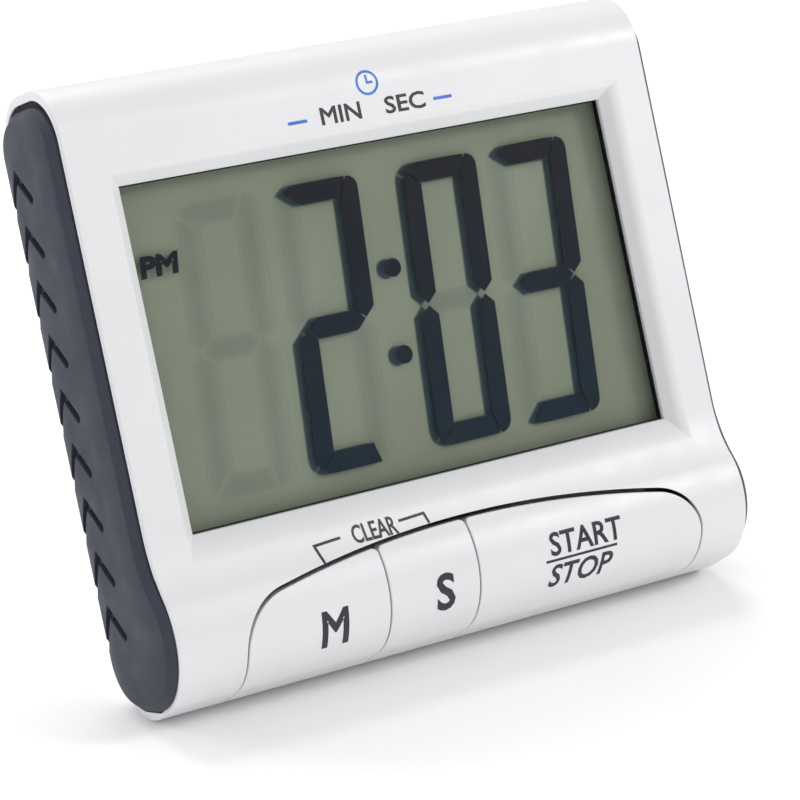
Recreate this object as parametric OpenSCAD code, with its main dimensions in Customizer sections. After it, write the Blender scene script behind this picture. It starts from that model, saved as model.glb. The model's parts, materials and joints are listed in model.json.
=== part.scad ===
// Table-top countdown timer with a large display, three front keys and a fold-out stand.
// The housing is drawn upright: X to the right, Y from front to back, Z up the display,
// with the origin at the middle of the display window. stood_up() then leans it back on its
// stand, with the table at Z = 0.

/* [Case] */
// Width of the white case across its ends
case_w = 91.2; // [88:0.1:96]
// How far the case leans back when it stands, in degrees
lean = 23.3; // [15:0.1:28]
// Thickness of the case walls
wall = 1.8; // [1.4:0.1:2.2]
// Depth at which the front and rear shells meet
split_y = 10; // [9.5:0.1:10.8]

/* [Display] */
// Width of the display window
window_w = 76; // [70:0.5:76]
// Height of the display window
window_h = 46.5; // [40:0.5:47]
// Height of the display figures
digit_h = 39.4; // [30:0.1:40]
// Width of one display figure
digit_w = 12.2; // [10:0.1:12.5]
// Width of one bar of a display figure
bar_w = 3.0; // [2:0.1:3.2]
// Depth and width of the slope round the window
window_slope = 1.75; // [1.2:0.05:1.9]

/* [Keys] */
// Half the width of the opening that holds the three keys
key_half_w = 36.8; // [34:0.1:37]
// Height of the top of the key opening
key_top_z = -29.2; // [-30:0.1:-29]
// Gap above the keys, which they rise into when pressed
key_top_gap = 0.9; // [0.8:0.1:1.1]
// Gap between keys, and beside them
key_gap = 0.35; // [0.25:0.05:0.5]
// Angle that a key turns when it is pressed, in degrees
key_press = 4; // [2:0.5:4]

/* [Grips] */
// How far a grip stands out from the end of the case
grip_proud = 1.8; // [1:0.1:2]
// Number of chevron grooves on a grip
chevrons = 9; // [5:1:9]

/* [Stand] */
// Half the width of the stand leaf
stand_half_w = 18.6; // [14:0.1:18.6]
// Length of the stand from its pins to the middle of its round foot
stand_len = 41.4; // [41:0.1:42]

/* [Battery] */
// Diameter of the battery cell
cell_d = 10.5; // [10.1:0.1:10.5]
// Length of the battery cell, with its button
cell_len = 44.5; // [44:0.1:44.5]

/* [Hidden] */
$fn = 48;
far = 60;
slip = 0.05;

// Section circles of the case and of the grips: [depth, height, radius]
case_tf = [6.0, 30.4, 7.5];
case_tb = [9.9, 31.5, 6.4];
case_bb = [8.6, -39.0, 7.7];
case_bf = [5.4, -35.4, 10.2];
grip_tf = [5.6, 29.9, 6.4];
grip_tb = [9.6, 30.1, 6.2];
grip_bb = [9.0, -38.2, 7.0];
grip_bf = [5.4, -35.4, 9.9];
// Height at which the flat display face starts to curve out over the keys
blend_z = -22;
front_y = case_tf[0] - case_tf[2];
back_y = case_tb[0] + case_tb[2];
end_x = case_w / 2;
inner_x = end_x - 2.6;
recess_x = end_x - 1.2;

// Layers behind the window, from the front
window_y = front_y + window_slope;
lcd_y = 1.0;
polarizer_t = 0.2;
glass_t = 0.9;
segment_t = 0.06;
reflector_t = 0.15;
front_glass_y = lcd_y + polarizer_t;
segment_y = front_glass_y + glass_t;
rear_glass_y = segment_y + segment_t;
reflector_y = rear_glass_y + glass_t;
front_glass = [80, 51.2];
rear_glass = [78, 48.3];
front_glass_z = -0.4;
rear_glass_z = 0.65;
holder_back_y = 4.2;

// Board and the parts on it
board_y = 5.2;
board_t = 1.2;
board_back_y = board_y + board_t;
board_top = -17.5;
board_step = -34.3;
board_bottom = -39.6;
board_half = 42.2;
board_lower_half = 36;
board_screw_x = 39.7;
board_screw_z = -30.8;
holder_screw_x = 41.4;
holder_screw_z = -19.4;

// Keys
key_x = 1.2;
key_crown_r = 150;
key_corner_r = 8;
key_skirt_y = 7.0;
key_divides = [-13.7, 0.5];
rod_y = 5.8;
rod_z = -42.2;
rib_r = 1.4;
rod_r = 0.9;
rod_x0 = -38.2;
rod_x1 = 40.6;
stem_z = -34.6;
dome_y = 2.6;
key_stems = [-25.4, -6.6, 19.2];

// Battery bay
bay_z = 11.2;
cell_r = cell_d / 2;
cell_y = 9.35;
bay_half_h = cell_r + 0.35;
bay_half_l = 25.2;
bay_wall = 1.0;
bay_floor_y = 3.95;
cell_x0 = -24.2;
door_in_y = back_y - 1.2;

// Stand
hinge_y = 14.5;
hinge_z = -0.2;
pin_r = 1.2;
foot_r = 1.3;
well_half = stand_half_w + 0.7;
well_floor_y = 12.4;
floor_drop = case_bb[0] * sin(lean) - case_bb[1] * cos(lean) + case_bb[2];
hinge_rise = floor_drop - hinge_y * sin(lean) + hinge_z * cos(lean);
stand_open = lean + acos((hinge_rise - foot_r) / stand_len);

// Fastenings, magnets, buzzer and switch
case_screws_at = [[-36, 32.2], [36, 32.2], [-39.9, -37.4], [39.9, -37.4]];
magnet_r = 6;
magnets_at = [[-34, 22.5], [34, 22.5]];
buzzer_at = [32.6, -15];
buzzer_r = 8.6;
buzzer_y = 12.7;
switch_at = [-32, -25];
switch_travel = 4;

// Where the case stands: the middle of the leaned case's depth
lean_front = case_bf[0] * cos(lean) + case_bf[1] * sin(lean) - case_bf[2];
lean_back = case_tb[0] * cos(lean) + case_tb[1] * sin(lean) + case_tb[2];

module stood_up() {
    translate([0, -(lean_front + lean_back) / 2, floor_drop]) rotate([-lean, 0, 0]) children();
}

// A shape drawn in depth and height, made from x0 to x1
module across(x0, x1) {
    translate([x0, 0, 0]) rotate([90, 0, 90]) linear_extrude(x1 - x0) children();
}

// A shape drawn in width and height, made from depth y0 to y1
module through(y0, y1) {
    translate([0, y1, 0]) rotate([90, 0, 0]) linear_extrude(y1 - y0) children();
}

module box(low, high) {
    translate(low) cube(high - low);
}

// A round bar along the depth, from y0 to y1
module peg(at, r, y0, y1) {
    translate([at[0], y0, at[1]]) rotate([-90, 0, 0]) cylinder(h = y1 - y0, r = r);
}

// A straight round wire between two points
module wire(a, b, r) {
    run = b - a;
    translate(a) rotate([0, acos(run[2] / norm(run)), atan2(run[1], run[0])])
        cylinder(h = norm(run), r = r);
}

function arc(c, a0, a1, inset, steps) = [
    for (i = [0:steps]) let (a = a0 + (a1 - a0) * i / steps)
        [c[0] + (c[2] - inset) * cos(a), c[1] + (c[2] - inset) * sin(a)]
];

// Angle of the outward normal of the straight line that touches circle a, then circle b
function touch(a, b) =
    atan2(b[1] - a[1], b[0] - a[0]) - acos((a[2] - b[2]) / norm([b[0] - a[0], b[1] - a[1]]));

// Radius of the hollow curve that runs from the flat front into the bulge over the keys
function hollow_r(tf, bf) =
    let (a = bf[0] - (tf[0] - tf[2]), d = blend_z - bf[1])
    (a * a + d * d - bf[2] * bf[2]) / (2 * (bf[2] - a));

// Side section of the timer, set in by inset all round
function section(tf, tb, bb, bf, inset) =
    let (
        r = hollow_r(tf, bf),
        hollow = [tf[0] - tf[2] - r, blend_z, r],
        turn = atan2(bf[1] - blend_z, bf[0] - hollow[0]),
        low = touch(bf, bb),
        rise = touch(bb, tb)
    )
    concat(
        arc(hollow, 0, turn, -inset, 8),
        arc(bf, 180 + turn, 360 + low, inset, 14),
        arc(bb, low, rise, inset, 10),
        arc(tb, rise, 90, inset, 8),
        arc(tf, 90, 180, inset, 8)
    );

module case_section(inset) polygon(section(case_tf, case_tb, case_bb, case_bf, inset));
module grip_section(inset) polygon(section(grip_tf, grip_tb, grip_bb, grip_bf, inset));

// Outline of the key opening: a shallow crown with round shoulders, open at the bottom
module key_field(half_w, top, corner_r) {
    centre = top - key_crown_r;
    reach = key_crown_r - corner_r;
    shoulder_x = half_w - corner_r;
    shoulder_z = centre + sqrt(reach * reach - shoulder_x * shoulder_x);
    a = atan2(shoulder_z - centre, shoulder_x);
    translate([key_x, 0]) polygon(concat(
        [[half_w, -far]],
        arc([shoulder_x, shoulder_z, corner_r], 0, a, 0, 6),
        arc([0, centre, key_crown_r], a, 180 - a, 0, 16),
        arc([-shoulder_x, shoulder_z, corner_r], 180 - a, 180, 0, 6),
        [[-half_w, -far]]
    ));
}

module case_shell() {
    difference() {
        across(-end_x, end_x) case_section(0);
        difference() {
            across(-inner_x, inner_x) case_section(wall);
            box([-far, -far, -26.8], [far, lcd_y, far]);
        }
        for (side = [-1, 1])
            across(side > 0 ? recess_x : -far, side > 0 ? far : -recess_x) grip_section(-0.25);
    }
}

// Window opening, which widens towards the front at 45 degrees on all four sides
module window_cut() {
    half_w = window_w / 2;
    half_h = window_h / 2;
    reach = 6;
    intersection() {
        linear_extrude(far, center = true) polygon([
            [-half_w, 3], [-half_w, window_y], [-half_w - reach, window_y - reach],
            [half_w + reach, window_y - reach], [half_w, window_y], [half_w, 3]
        ]);
        across(-far, far) polygon([
            [3, -half_h], [window_y, -half_h], [window_y - reach, -half_h - reach],
            [window_y - reach, half_h + reach], [window_y, half_h], [3, half_h]
        ]);
    }
}

module rod_rib(x, t) {
    across(x - t / 2, x + t / 2) {
        translate([rod_y, rod_z]) circle(r = rib_r);
        translate([rod_y, rod_z - rib_r]) square([split_y - rod_y, 2 * rib_r]);
        translate([key_skirt_y + 0.5, -46]) square([split_y - key_skirt_y - 0.5, 2.5]);
    }
}

module front_bosses() {
    intersection() {
        union() {
            for (at = case_screws_at) peg(at, 2.7, -far, split_y);
            for (x = [-board_screw_x, board_screw_x])
                peg([x, board_screw_z], 2, -far, board_y - slip);
        }
        across(-inner_x - 0.5, inner_x + 0.5) case_section(wall / 2);
    }
}

module front_case() {
    color("whitesmoke") stood_up() difference() {
        union() {
            difference() {
                intersection() {
                    union() {
                        case_shell();
                        front_bosses();
                    }
                    box([-far, -far, -far], [far, split_y, far]);
                }
                window_cut();
                through(-20, key_skirt_y + 0.3)
                    key_field(key_half_w, key_top_z, key_corner_r);
            }
            for (x = concat([rod_x0 + 0.6], key_divides, [rod_x1 - 0.6])) rod_rib(x, 1.2);
        }
        translate([rod_x0 - slip, rod_y, rod_z]) rotate([0, 90, 0])
            cylinder(h = rod_x1 - rod_x0 + 2 * slip, r = rod_r + slip);
        for (at = case_screws_at) peg(at, 1.05, 2.5, far);
        for (x = [-board_screw_x, board_screw_x])
            peg([x, board_screw_z], 0.8, 1, board_y + 1);
    }
}

module rear_case() {
    color("whitesmoke") stood_up() difference() {
        intersection() {
            union() {
                case_shell();
                for (at = case_screws_at) peg(at, 2.7, split_y, back_y - 0.5);
                for (at = magnets_at) peg(at, magnet_r + 1.2, 12.4, back_y - 0.5);
                box([-well_half - 2, well_floor_y - 1.2, -50], [well_half + 2, back_y, 3.4]);
                peg(buzzer_at, buzzer_r + 1.1, buzzer_y - 0.4, back_y - 0.5);
                box([-bay_half_l - bay_wall, 3.35, bay_z - bay_half_h - bay_wall],
                    [bay_half_l + bay_wall, back_y, bay_z + bay_half_h + bay_wall]);
            }
            across(-end_x, end_x) case_section(0);
            union() {
                box([-far, split_y, -far], [far, far, far]);
                box([-28, 3, 0], [28, split_y + 1, 20]);
            }
        }
        stand_well_cut();
        battery_bay_cut();
        for (at = case_screws_at) {
            peg(at, 1.2, 0, far);
            peg(at, 2.4, 13.2, far);
        }
        for (at = magnets_at) peg(at, magnet_r + 0.1, 13.6, far);
        buzzer_seat_cut();
        switch_slot_cut();
    }
}

module stand_well_cut() {
    box([-well_half, well_floor_y, -far], [well_half, far, 2.2]);
    translate([-well_half - 1.6, hinge_y, hinge_z]) rotate([0, 90, 0])
        cylinder(h = 2 * well_half + 3.2, r = pin_r + slip);
}

module battery_bay_cut() {
    box([-bay_half_l, bay_floor_y, bay_z - bay_half_h], [bay_half_l, far, bay_z + bay_half_h]);
    box([-bay_half_l - 0.6, door_in_y, bay_z - bay_half_h - 0.6],
        [bay_half_l + 0.6, far, bay_z + bay_half_h + 0.6]);
    for (side = [-1, 1]) box([side * 25.9 - 1, 5.4, 7.4], [side * 25.9 + 1, 8.6, 8.2]);
}

module buzzer_seat_cut() {
    peg(buzzer_at, buzzer_r + 0.1, 0, buzzer_y + 0.2);
    peg(buzzer_at, buzzer_r - 1.4, 0, back_y - 1.6);
    for (i = [0:6]) {
        ring_r = i == 0 ? 0 : 3;
        peg(buzzer_at + ring_r * [cos(60 * i), sin(60 * i)], 0.7, 0, far);
    }
}

module switch_slot_cut() {
    translate([switch_at[0], 0, switch_at[1]]) {
        box([-1.2, 0, -1.2], [switch_travel + 1.2, far, 1.2]);
        box([-2.6, 15.1, -2.2], [switch_travel + 2.6, far, 2.2]);
    }
}

// One chevron of two grooves, pointing up, cut into the face of a grip
module chevron_cut(top) {
    translate([-0.8, 11.4, top]) {
        rotate([52, 0, 0]) box([0, -0.45, -6.2], [2.4, 0.45, 0]);
        rotate([-52, 0, 0]) box([0, -0.4, -5.2], [2.4, 0.4, -1.2]);
    }
}

module grip() {
    color([0.27, 0.29, 0.34]) difference() {
        union() {
            across(recess_x + slip, end_x + grip_proud - 0.9) grip_section(0);
            across(recess_x + slip, end_x + grip_proud - 0.4) grip_section(0.5);
            across(recess_x + slip, end_x + grip_proud) grip_section(1.3);
        }
        for (i = [0:chevrons - 1])
            translate([end_x + grip_proud, 0, 0]) chevron_cut(28 - 7.35 * i);
    }
}

module right_grip() stood_up() grip();
module left_grip() stood_up() mirror([1, 0, 0]) grip();

module pane(size, z, y, t) {
    box([-size[0] / 2, y, z - size[1] / 2], [size[0] / 2, y + t, z + size[1] / 2]);
}

module lcd_polarizer() {
    color([0.55, 0.6, 0.5, 0.5]) stood_up()
        pane([window_w + 3, window_h + 2.5], 0, lcd_y, polarizer_t);
}

module lcd_front_glass() {
    color([0.75, 0.85, 0.8, 0.4]) stood_up()
        pane(front_glass, front_glass_z, front_glass_y, glass_t);
}

module lcd_rear_glass() {
    color([0.75, 0.85, 0.8, 0.4]) stood_up()
        pane(rear_glass, rear_glass_z, rear_glass_y, glass_t);
}

module lcd_reflector() {
    color([0.5, 0.55, 0.45]) stood_up()
        pane(rear_glass - [0.2, 0.2], rear_glass_z, reflector_y, reflector_t);
}

// Bars of a seven-bar figure: [x, z, is it upright]
bar_spots = [
    [0, 1, false], [1, 0.5, true], [1, -0.5, true], [0, -1, false],
    [-1, -0.5, true], [-1, 0.5, true], [0, 0, false]
];

// One bar with pointed ends, lying along X
module bar(len) {
    h = bar_w / 2;
    polygon([[-len / 2, 0], [h - len / 2, h], [len / 2 - h, h], [len / 2, 0],
        [len / 2 - h, -h], [h - len / 2, -h]]);
}

// A figure of the display. lit lists the bars that show, in the order of bar_spots
module figure(lit) {
    half_w = (digit_w - bar_w) / 2;
    half_h = (digit_h - bar_w) / 2;
    gap = 0.35;
    for (i = lit) translate([bar_spots[i][0] * half_w, bar_spots[i][1] * half_h])
        if (bar_spots[i][2]) rotate(90) bar(half_h - gap);
        else bar(2 * half_w - gap);
}

module lcd_segments() {
    slant = [[1, 0.08, 0, 0], [0, 1, 0, 0], [0, 0, 1, 0], [0, 0, 0, 1]];
    color([0.13, 0.14, 0.2]) stood_up() through(segment_y + 0.01, rear_glass_y - 0.01) {
        translate([0, -0.3]) multmatrix(slant) {
            translate([-9.55, 0]) figure([0, 1, 6, 4, 3]);
            translate([9.65, 0]) figure([0, 1, 2, 3, 4, 5]);
            translate([24.75, 0]) figure([0, 1, 6, 2, 3]);
            for (z = [6, -6]) translate([0.15, z]) circle(r = 1.3);
        }
    }
}

module lcd_holder() {
    color("ivory") stood_up() difference() {
        union() {
            box([-42.6, lcd_y + slip, -27.4], [42.6, holder_back_y, 27.2]);
            box([-42.6, lcd_y + slip, -27.4], [42.6, board_y - slip, board_top + 0.5]);
        }
        pane(front_glass + [0.2, 0.2], front_glass_z, 0, rear_glass_y - 0.02);
        pane(rear_glass + [0.2, 0.2], rear_glass_z, 0, reflector_y + reflector_t + slip);
        box([-37, 0, -19.6], [37, far, 23]);
        box([-35.2, 0, -25.5], [35.2, far, -23.5]);
        for (x = [-holder_screw_x, holder_screw_x]) peg([x, holder_screw_z], 0.6, 2, far);
    }
}

module zebra_strip() {
    color([0.25, 0.25, 0.27]) stood_up()
        box([-35, segment_y + 0.01, -25.3], [35, board_y - 0.01, -23.7]);
}

module main_board() {
    color("seagreen") stood_up() difference() {
        through(board_y, board_back_y) polygon([
            [-board_half, board_top], [-board_half, board_step],
            [-board_lower_half, board_step], [-board_lower_half, board_bottom],
            [board_lower_half, board_bottom], [board_lower_half, board_step],
            [board_half, board_step], [board_half, board_top]
        ]);
        for (side = [-1, 1]) {
            peg([side * board_screw_x, board_screw_z], 0.9, 0, far);
            peg([side * holder_screw_x, holder_screw_z], 0.7, 0, far);
        }
    }
}

module controller_chip() {
    color([0.08, 0.08, 0.08]) stood_up()
        for (step = [0:3]) peg([-2, -26], 6 - 0.9 * step, board_back_y + 0.3 * step,
            board_back_y + 0.3 * (step + 1));
}

module crystal() {
    color("silver") stood_up()
        translate([8, board_back_y + 1.1, -26]) rotate([0, 90, 0]) cylinder(h = 6, r = 1);
}

module capacitors() {
    color([0.2, 0.25, 0.5]) stood_up() {
        peg([-18, -24], 2, board_back_y, board_back_y + 4.6);
        peg([-18, -30], 2, board_back_y, board_back_y + 4.6);
    }
}

module chip_resistors() {
    color([0.1, 0.1, 0.12]) stood_up() for (x = [16, 20, 24])
        box([x, board_back_y, -32], [x + 2, board_back_y + 0.5, -30.8]);
}

module board_screws() {
    color("gainsboro") stood_up() for (side = [-1, 1]) {
        peg([side * board_screw_x, board_screw_z], 0.75, 1.6, board_back_y + 0.1);
        peg([side * board_screw_x, board_screw_z], 1.7, board_back_y + 0.02, board_back_y + 1.1);
        peg([side * holder_screw_x, holder_screw_z], 0.55, 2.4, board_back_y + 0.1);
        peg([side * holder_screw_x, holder_screw_z], 1.3, board_back_y + 0.02,
            board_back_y + 0.9);
    }
}

module buzzer_plate() {
    color("goldenrod") stood_up() peg(buzzer_at, buzzer_r, buzzer_y, buzzer_y + 0.2);
}

module buzzer_ceramic() {
    color("ghostwhite") stood_up() peg(buzzer_at, 6.2, buzzer_y - 0.2, buzzer_y);
}

module buzzer_wires() {
    color("firebrick") stood_up() {
        wire([31, 12, -16], [30, 6.8, -24], 0.4);
    }
    color("black") stood_up() {
        wire([33.4, 12, -16], [33, 6.8, -24], 0.4);
    }
}

// Height of the top edge of the keys at x
function key_edge(x) = key_top_z - key_top_gap - (x - key_x) * (x - key_x) / (2 * key_crown_r);

// A key from x0 to x1, with a stem at stem_x, a hook under the case and two knuckles
module key(x0, x1, stem_x) {
    hook_top = key_edge(stem_x) + key_top_gap + 0.6;
    color("white") stood_up() difference() {
        union() {
            intersection() {
                through(-20, key_skirt_y) intersection() {
                    key_field(key_half_w - key_gap, key_top_z - key_top_gap,
                        key_corner_r - key_gap);
                    translate([x0, -far]) square([x1 - x0, far]);
                }
                across(x0, x1) difference() {
                    case_section(0);
                    case_section(wall);
                }
            }
            intersection() {
                peg([stem_x, stem_z], 2.2, -far, dome_y - 0.02);
                across(x0, x1) case_section(0.9);
            }
            across(stem_x - 2.5, stem_x + 2.5) intersection() {
                difference() {
                    case_section(wall + 0.15);
                    case_section(wall + 1.0);
                }
                translate([-10, hook_top - 3]) square([20, 3]);
            }
            across(stem_x - 2.5, stem_x + 2.5) intersection() {
                difference() {
                    case_section(wall - 0.4);
                    case_section(wall + 0.6);
                }
                translate([-10, hook_top - 3.4]) square([20, 1.4]);
            }
            for (x = [max(x0, key_x - key_half_w + 1.6) + 0.5,
                      min(x1, key_x + key_half_w - 0.4) - 2.5])
                across(x, x + 1.8) {
                    translate([rod_y, rod_z]) circle(r = 2.1);
                    intersection() {
                        translate([2.6, rod_z - 3]) square([3.2, 3.2]);
                        case_section(0.9);
                    }
                }
        }
        translate([-far, rod_y, rod_z]) rotate([0, 90, 0])
            cylinder(h = 2 * far, r = rod_r + slip);
    }
}

half_gap = key_gap / 2;
module minutes_key() key(-far, key_divides[0] - half_gap, key_stems[0]);
module seconds_key() key(key_divides[0] + half_gap, key_divides[1] - half_gap, key_stems[1]);
module start_stop_key() key(key_divides[1] + half_gap, far, key_stems[2]);

module key_pivot_rod() {
    color("silver") stood_up() translate([rod_x0, rod_y, rod_z]) rotate([0, 90, 0])
        cylinder(h = rod_x1 - rod_x0, r = rod_r);
}

module keypad() {
    color([0.75, 0.75, 0.78]) stood_up() {
        box([-34.5, board_y - 0.8, -38.6], [35, board_y - 0.02, -30.2]);
        for (x = key_stems) peg([x, stem_z], 3, dome_y, board_y - 0.5);
    }
}

module battery_cell() {
    color("darkorange") stood_up() translate([cell_x0, cell_y, bay_z]) rotate([0, 90, 0]) {
        cylinder(h = 1, r = 1.9);
        translate([0, 0, 0.8]) cylinder(h = cell_len - 0.8, r = cell_r);
    }
}

module battery_door() {
    color("whitesmoke") stood_up() difference() {
        union() {
            box([-bay_half_l - 0.45, door_in_y + slip, bay_z - bay_half_h - 0.45],
                [bay_half_l + 0.45, back_y, bay_z + bay_half_h + 0.45]);
            for (x = [-20, 18.5])
                box([x, cell_y + cell_r + 0.1, bay_z - 4], [x + 1.5, back_y - 0.4, bay_z + 4]);
        }
        for (i = [-1:1])
            box([-6, back_y - 0.4, bay_z - 3.4 + 2.2 * i], [6, far, bay_z - 2.8 + 2.2 * i]);
    }
}

module positive_contact() {
    color("silver") stood_up() {
        box([-bay_half_l + 0.02, 5, bay_z - 4.5], [-bay_half_l + 0.32, 13, bay_z + 4.5]);
        translate([-bay_half_l + 0.3, cell_y, bay_z]) rotate([0, 90, 0])
            cylinder(h = 0.65, r = 1.5);
        box([-bay_half_l - 1.4, 5.6, 7.6], [-bay_half_l + 0.3, 8.4, 7.9]);
    }
}

module negative_contact() {
    tip = bay_half_l - (cell_x0 + cell_len) - 0.05;
    color("silver") stood_up() {
        box([bay_half_l - 0.32, 5, bay_z - 4.5], [bay_half_l - 0.02, 13, bay_z + 4.5]);
        translate([bay_half_l - 0.2, 0, bay_z]) through(7.4, 11.4) difference() {
            polygon([[0, 4.1], [0.2 - tip, 0.9], [0.2 - tip, -0.9], [0, -4.1]]);
            polygon([[-0.4, 3.1], [0.6 - tip, 0.7], [0.6 - tip, -0.7], [-0.4, -3.1]]);
        }
        box([bay_half_l - 0.3, 5.6, 7.6], [bay_half_l + 1.4, 8.4, 7.9]);
    }
}

module battery_wires() {
    color("firebrick") stood_up() {
        wire([-26.8, 7, 6.9], [-26.4, 7, -21], 0.5);
    }
    color("black") stood_up() {
        wire([27, 7, 6.9], [24.6, 7, -21], 0.5);
    }
}

// Stand leaf, hanging straight down from its pins
module stand_leaf() {
    across(-stand_half_w, stand_half_w) {
        circle(r = 1.75);
        translate([-1.1, -stand_len]) square([2.4, stand_len]);
        translate([0, -stand_len]) circle(r = foot_r);
    }
    translate([-well_half - 1.4, 0, 0]) rotate([0, 90, 0])
        cylinder(h = 2 * well_half + 2.8, r = pin_r);
}

module stand() {
    color("whitesmoke") stood_up() translate([0, hinge_y, hinge_z]) rotate([stand_open, 0, 0])
        difference() {
            stand_leaf();
            box([-8, 0.7, -stand_len + 3], [8, 5, -stand_len + 7]);
        }
}

module magnets() {
    color("dimgray") stood_up() for (at = magnets_at) peg(at, magnet_r, 13.6, back_y);
}

module mode_switch_knob() {
    color([0.2, 0.2, 0.22]) stood_up() translate([switch_at[0], 0, switch_at[1]]) {
        box([-0.9, 9, -0.9], [0.9, 15.2, 0.9]);
        box([-1.6, 13.1, -1.8], [1.6, 14.4, 1.8]);
        box([-1.4, 15.2, -1.5], [1.4, 16.2, 1.5]);
    }
}

module mode_switch_body() {
    color("silver") stood_up() translate([switch_at[0], 0, switch_at[1]]) difference() {
        box([-3, board_back_y, -2.2], [switch_travel + 3, board_back_y + 5, 2.2]);
        box([-1, 8.6, -1], [switch_travel + 1, far, 1]);
    }
}

module case_screws() {
    color("silver") stood_up() for (at = case_screws_at) difference() {
        union() {
            peg(at, 1, 3, 13.3);
            peg(at, 2.1, 13.22, 14.8);
        }
        translate([at[0], 14.2, at[1]]) for (turn = [0, 90]) rotate([0, turn, 0])
            box([-1.4, 0, -0.25], [1.4, 2, 0.25]);
    }
}

front_case();
rear_case();
left_grip();
right_grip();
lcd_polarizer();
lcd_front_glass();
lcd_segments();
lcd_rear_glass();
lcd_reflector();
lcd_holder();
zebra_strip();
main_board();
controller_chip();
crystal();
capacitors();
chip_resistors();
board_screws();
buzzer_plate();
buzzer_ceramic();
buzzer_wires();
minutes_key();
seconds_key();
start_stop_key();
key_pivot_rod();
keypad();
battery_cell();
battery_door();
positive_contact();
negative_contact();
battery_wires();
stand();
magnets();
mode_switch_knob();
mode_switch_body();
case_screws();
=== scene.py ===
"""Looks of a table-top countdown timer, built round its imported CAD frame.

Shapes are drawn in millimetres in the housing's own upright frame: X to the right, Y from front to
back, Z up the display, with the origin at the middle of the window. HOUSING leans that frame back
and stands it on the table, in metres, as the CAD frame does.
"""
import json
import math

import bpy
import numpy as np
from mathutils import Matrix, Vector
from mathutils.geometry import delaunay_2d_cdt


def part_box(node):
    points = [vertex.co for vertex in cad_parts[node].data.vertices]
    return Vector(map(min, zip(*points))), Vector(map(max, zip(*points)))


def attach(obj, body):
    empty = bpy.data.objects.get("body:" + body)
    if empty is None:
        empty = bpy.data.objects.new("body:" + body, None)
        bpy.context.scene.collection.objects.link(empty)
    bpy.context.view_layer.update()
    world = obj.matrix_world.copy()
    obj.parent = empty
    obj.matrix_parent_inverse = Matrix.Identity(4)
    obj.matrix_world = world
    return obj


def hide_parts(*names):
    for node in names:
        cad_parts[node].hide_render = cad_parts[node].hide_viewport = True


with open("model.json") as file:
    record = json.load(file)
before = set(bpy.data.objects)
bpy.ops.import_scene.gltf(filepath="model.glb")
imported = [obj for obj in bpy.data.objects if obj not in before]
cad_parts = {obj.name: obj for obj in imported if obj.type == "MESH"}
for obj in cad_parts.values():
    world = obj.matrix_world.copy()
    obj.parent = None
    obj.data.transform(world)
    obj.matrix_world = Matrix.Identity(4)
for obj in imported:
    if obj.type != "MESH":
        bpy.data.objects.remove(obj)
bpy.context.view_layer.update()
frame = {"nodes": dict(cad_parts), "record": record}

MM = 0.001

# ---------------------------------------------------------------- the housing's frame
back_axis = Vector(frame["record"]["mounts"][0]["axis"])
LEAN = math.atan2(-back_axis.z, back_axis.y)
TURN = Matrix.Rotation(-LEAN, 4, "X")
LCD_Y = 1.0


def housing_frame():
    """The matrix from housing millimetres to the row frame in metres, found from the polarizer sheet."""
    turned = [TURN.inverted() @ v.co for v in frame["nodes"]["lcd_polarizer"].data.vertices]
    low = Vector([min(p[i] for p in turned) for i in range(3)])
    high = Vector([max(p[i] for p in turned) for i in range(3)])
    origin = Vector(((low.x + high.x) / 2, low.y - LCD_Y * MM, (low.z + high.z) / 2))
    return TURN @ Matrix.Translation(origin) @ Matrix.Scale(MM, 4)


HOUSING = housing_frame()
TO_HOUSING = HOUSING.inverted()


def node_box(node):
    """Lowest and highest corner of a CAD node, in the housing's frame."""
    points = np.array([TO_HOUSING @ v.co for v in frame["nodes"][node].data.vertices])
    return points.min(0), points.max(0)


# ---------------------------------------------------------------- driving dimensions, in mm
END_X = 45.6
INNER_X = 43.0
RECESS_X = 44.4
SPLIT_Y = 10.0
CASE_TOP_FRONT = (6.0, 30.4, 7.5)
CASE_TOP_BACK = (9.9, 31.5, 6.4)
CASE_LOW_BACK = (8.6, -39.0, 7.7)
CASE_LOW_FRONT = (5.4, -35.4, 10.2)
CASE = (CASE_TOP_FRONT, CASE_TOP_BACK, CASE_LOW_BACK, CASE_LOW_FRONT)
GRIP = ((5.6, 29.9, 6.4), (9.6, 30.1, 6.2), (9.0, -38.2, 7.0), (5.4, -35.4, 9.9))
BLEND_Z = -22.0
FRONT_Y = CASE_TOP_FRONT[0] - CASE_TOP_FRONT[2]
BACK_Y = CASE_TOP_BACK[0] + CASE_TOP_BACK[2]
WINDOW = (76.0, 46.5)
WINDOW_SLOPE = 1.75
RIGHT_SHOULDER, LEFT_SHOULDER, OVER_SHOULDER, UNDER_WIDTH = 2.4, 0.35, 1.5, 4.0
BEZEL_W = 1.5
KEY_X = 1.2
KEY_HALF_W = 36.8
KEY_TOP_Z = -29.2
KEY_TOP_GAP = 0.52
KEY_GAP = 0.22
KEY_NICK_R = 0.8
KEY_CROWN_R = 150.0
KEY_CORNER_R = 8.0
KEY_DIVIDES = (-13.7, 0.5)
FAR = 99.0
KEY_SKIRT_Y = 7.0
KEY_WALL = 1.8
ARC_STEP, SLOT_STEP = math.radians(3), math.radians(12)
FLAT = math.pi / 2
BATCH = 4000
TOUCHING, ASIDE = 1e-3, 0.01


# ---------------------------------------------------------------- plane geometry
def arc(centre, radius, start, end, step=ARC_STEP):
    """Points on an arc from one angle to another, in radians, both ends included."""
    count = max(1, math.ceil(abs(end - start) / step))
    angles = np.linspace(start, end, count + 1)
    return np.c_[centre[0] + radius * np.cos(angles), centre[1] + radius * np.sin(angles)]


def circle(centre, radius, step=math.radians(8)):
    return arc(centre, radius, 0, math.tau, step)[:-1]


def rectangle(low, high):
    return np.array([low, (high[0], low[1]), high, (low[0], high[1])], float)


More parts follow.
